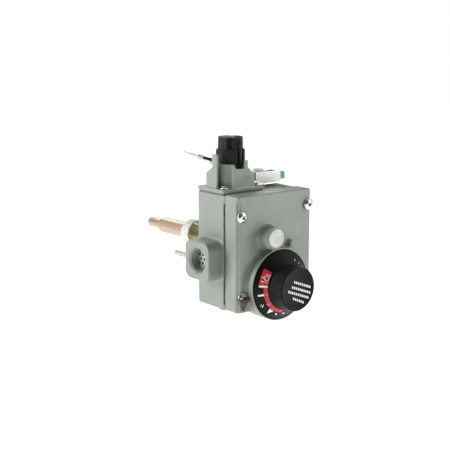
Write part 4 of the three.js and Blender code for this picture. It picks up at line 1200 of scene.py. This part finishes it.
def make_probe():
    profile = [
        (0, 152),
        *arc_points((2.8, 150.8), 1.2, 90, 0),
        (4, 136.4),
        *arc_points((4.9, 135.6), 0.9, 180, 250, 4),
        *arc_points((5.2, 132.8), 1.15, 70, 0, 4),
        *[(PROBE_RADIUS, h) for h in np.linspace(131, 97.4, 8)],
        (PROBE_RADIUS, 62.1), (5.55, 62.1), (5.55, 133.2),
        (3.2, 134.8), (3.2, 150.4), (0, 150.4),
    ]
    turned_piece("probe_sheath", "probe_tube", PROBE, profile, "copper", 80)


def make_stud():
    profile = [(0, 41.2), (2.5, 41.2), (2.5, 83.6), *arc_points((1.7, 84.0), 0.8, 0, 90), (0, 84.8)]
    turned_piece("rear_pin", "rear_stud", STUD, profile, "steel", 40)


# ---------- piezo igniter

EAR_TOP = 92.2
EAR_SCREW = 2
EAR = ((18.6, 26.4), (91.3, EAR_TOP))
CHANNEL_X = (42, 67.7)


def make_bracket():
    f = Field((30.8, 17.8, 87.4), (68.6, 40.9, 99.9), 0.2 * COARSER)
    ear = f.rounded_bar("z", (31.8, 41.2), EAR[0], 2.6, EAR[1], 0.25)
    ear = join(0.1, ear, f.block((38, 41.2), *EAR, 0.25))
    step = f.block((40.3, 41.2), (18.6, 40), (88.7, EAR_TOP), 0.25)
    floor = f.block((40.3, CHANNEL_X[1]), (30, 40), (88.7, 89.6), 0.25)
    sides = [f.block(CHANNEL_X, y, (89, 99), 0.25) for y in ((30, 30.8), (39.2, 40))]
    shape = join(0.5, ear, step, floor, *sides)
    shape = cut(0.1, shape, f.rod("z", HOUSING_SCREWS[EAR_SCREW - 1], 1.9, (90, 94)))
    f.piece("igniter_channel", "igniter_bracket", shape, "bright_steel")


def make_igniter():
    f = Field((41.6, 30.2, 89), (68, 39.8, 99.2), 0.2 * COARSER)
    shell = f.block((42.4, 67.1), (30.95, 39.05), (89.7, 98.3), 0.5)
    plunger_well = f.block((56, 70), (31.25, 38.75), (91.25, 97.6), 0.6)
    spring_bore = f.rod("x", (35, 94.4), 2.6, (45.6, 57))
    f.piece("igniter_housing", "igniter_body", cut(0.2, shell, plunger_well, spring_bore), "black_plastic")

    f = Field((60.8, 30.8, 90.8), (74.4, 39.2, 98.2), 0.16 * COARSER)
    button = f.rounded_bar("x", (31.6, 38.4), (91.6, 97.4), 0.9, (61.6, 73.6), 0.6)
    f.piece("igniter_button", "igniter_plunger", button, "green_plastic", body="plunger")

    f = Field((42.2, 31.2, 97.8), (55.8, 38.8, 102.2), 0.16 * COARSER)
    seat, shoulder, crest = 98.4, 99.1, 101.3
    outline = [
        (43, seat), (55, seat), (55, shoulder), (52.5, shoulder),
        (51.5, crest), (46, crest), (45, shoulder), (43, shoulder),
    ]
    f.piece("igniter_top_clip", "igniter_clip", f.prism("y", outline, (32, 38), 0.25), "pale_plastic")


# ---------- everything

make_body()
make_cover()
make_plug()
make_seal()
make_screws()
make_tube_nuts()
make_regulator_cap()
make_dial()
make_dial_print()
make_tower()
make_knob()
make_shank()
make_collar()
make_probe()
make_stud()
make_bracket()
make_igniter()

# The CAD nodes that stay, by finish. Those in no row are plain steel.
CAD_FINISH = {
    "gasket": ("cover_gasket", "regulator_diaphragm", "main_valve_disc"),
    "fibre_sheet": ("housing_gasket",),
    "brass": ("regulator_adjuster", "dial_stem", "dial_bushing", "gas_cock_plug"),
    "bright_steel": ("diaphragm_plate", "safety_magnet", "thermostat_lever", "inlet_screen"),
    "zinc_plate": ("lead_terminal",),
    "pale_plastic": ("lead_sleeve", "eco_fuse"),
}
FINISH_OF = {node: finish for finish, nodes in CAD_FINISH.items() for node in nodes}

for node_name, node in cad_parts.items():
    if not node.hide_render:
        node.data.materials.clear()
        node.data.materials.append(MATERIAL[FINISH_OF.get(node_name, "steel")])
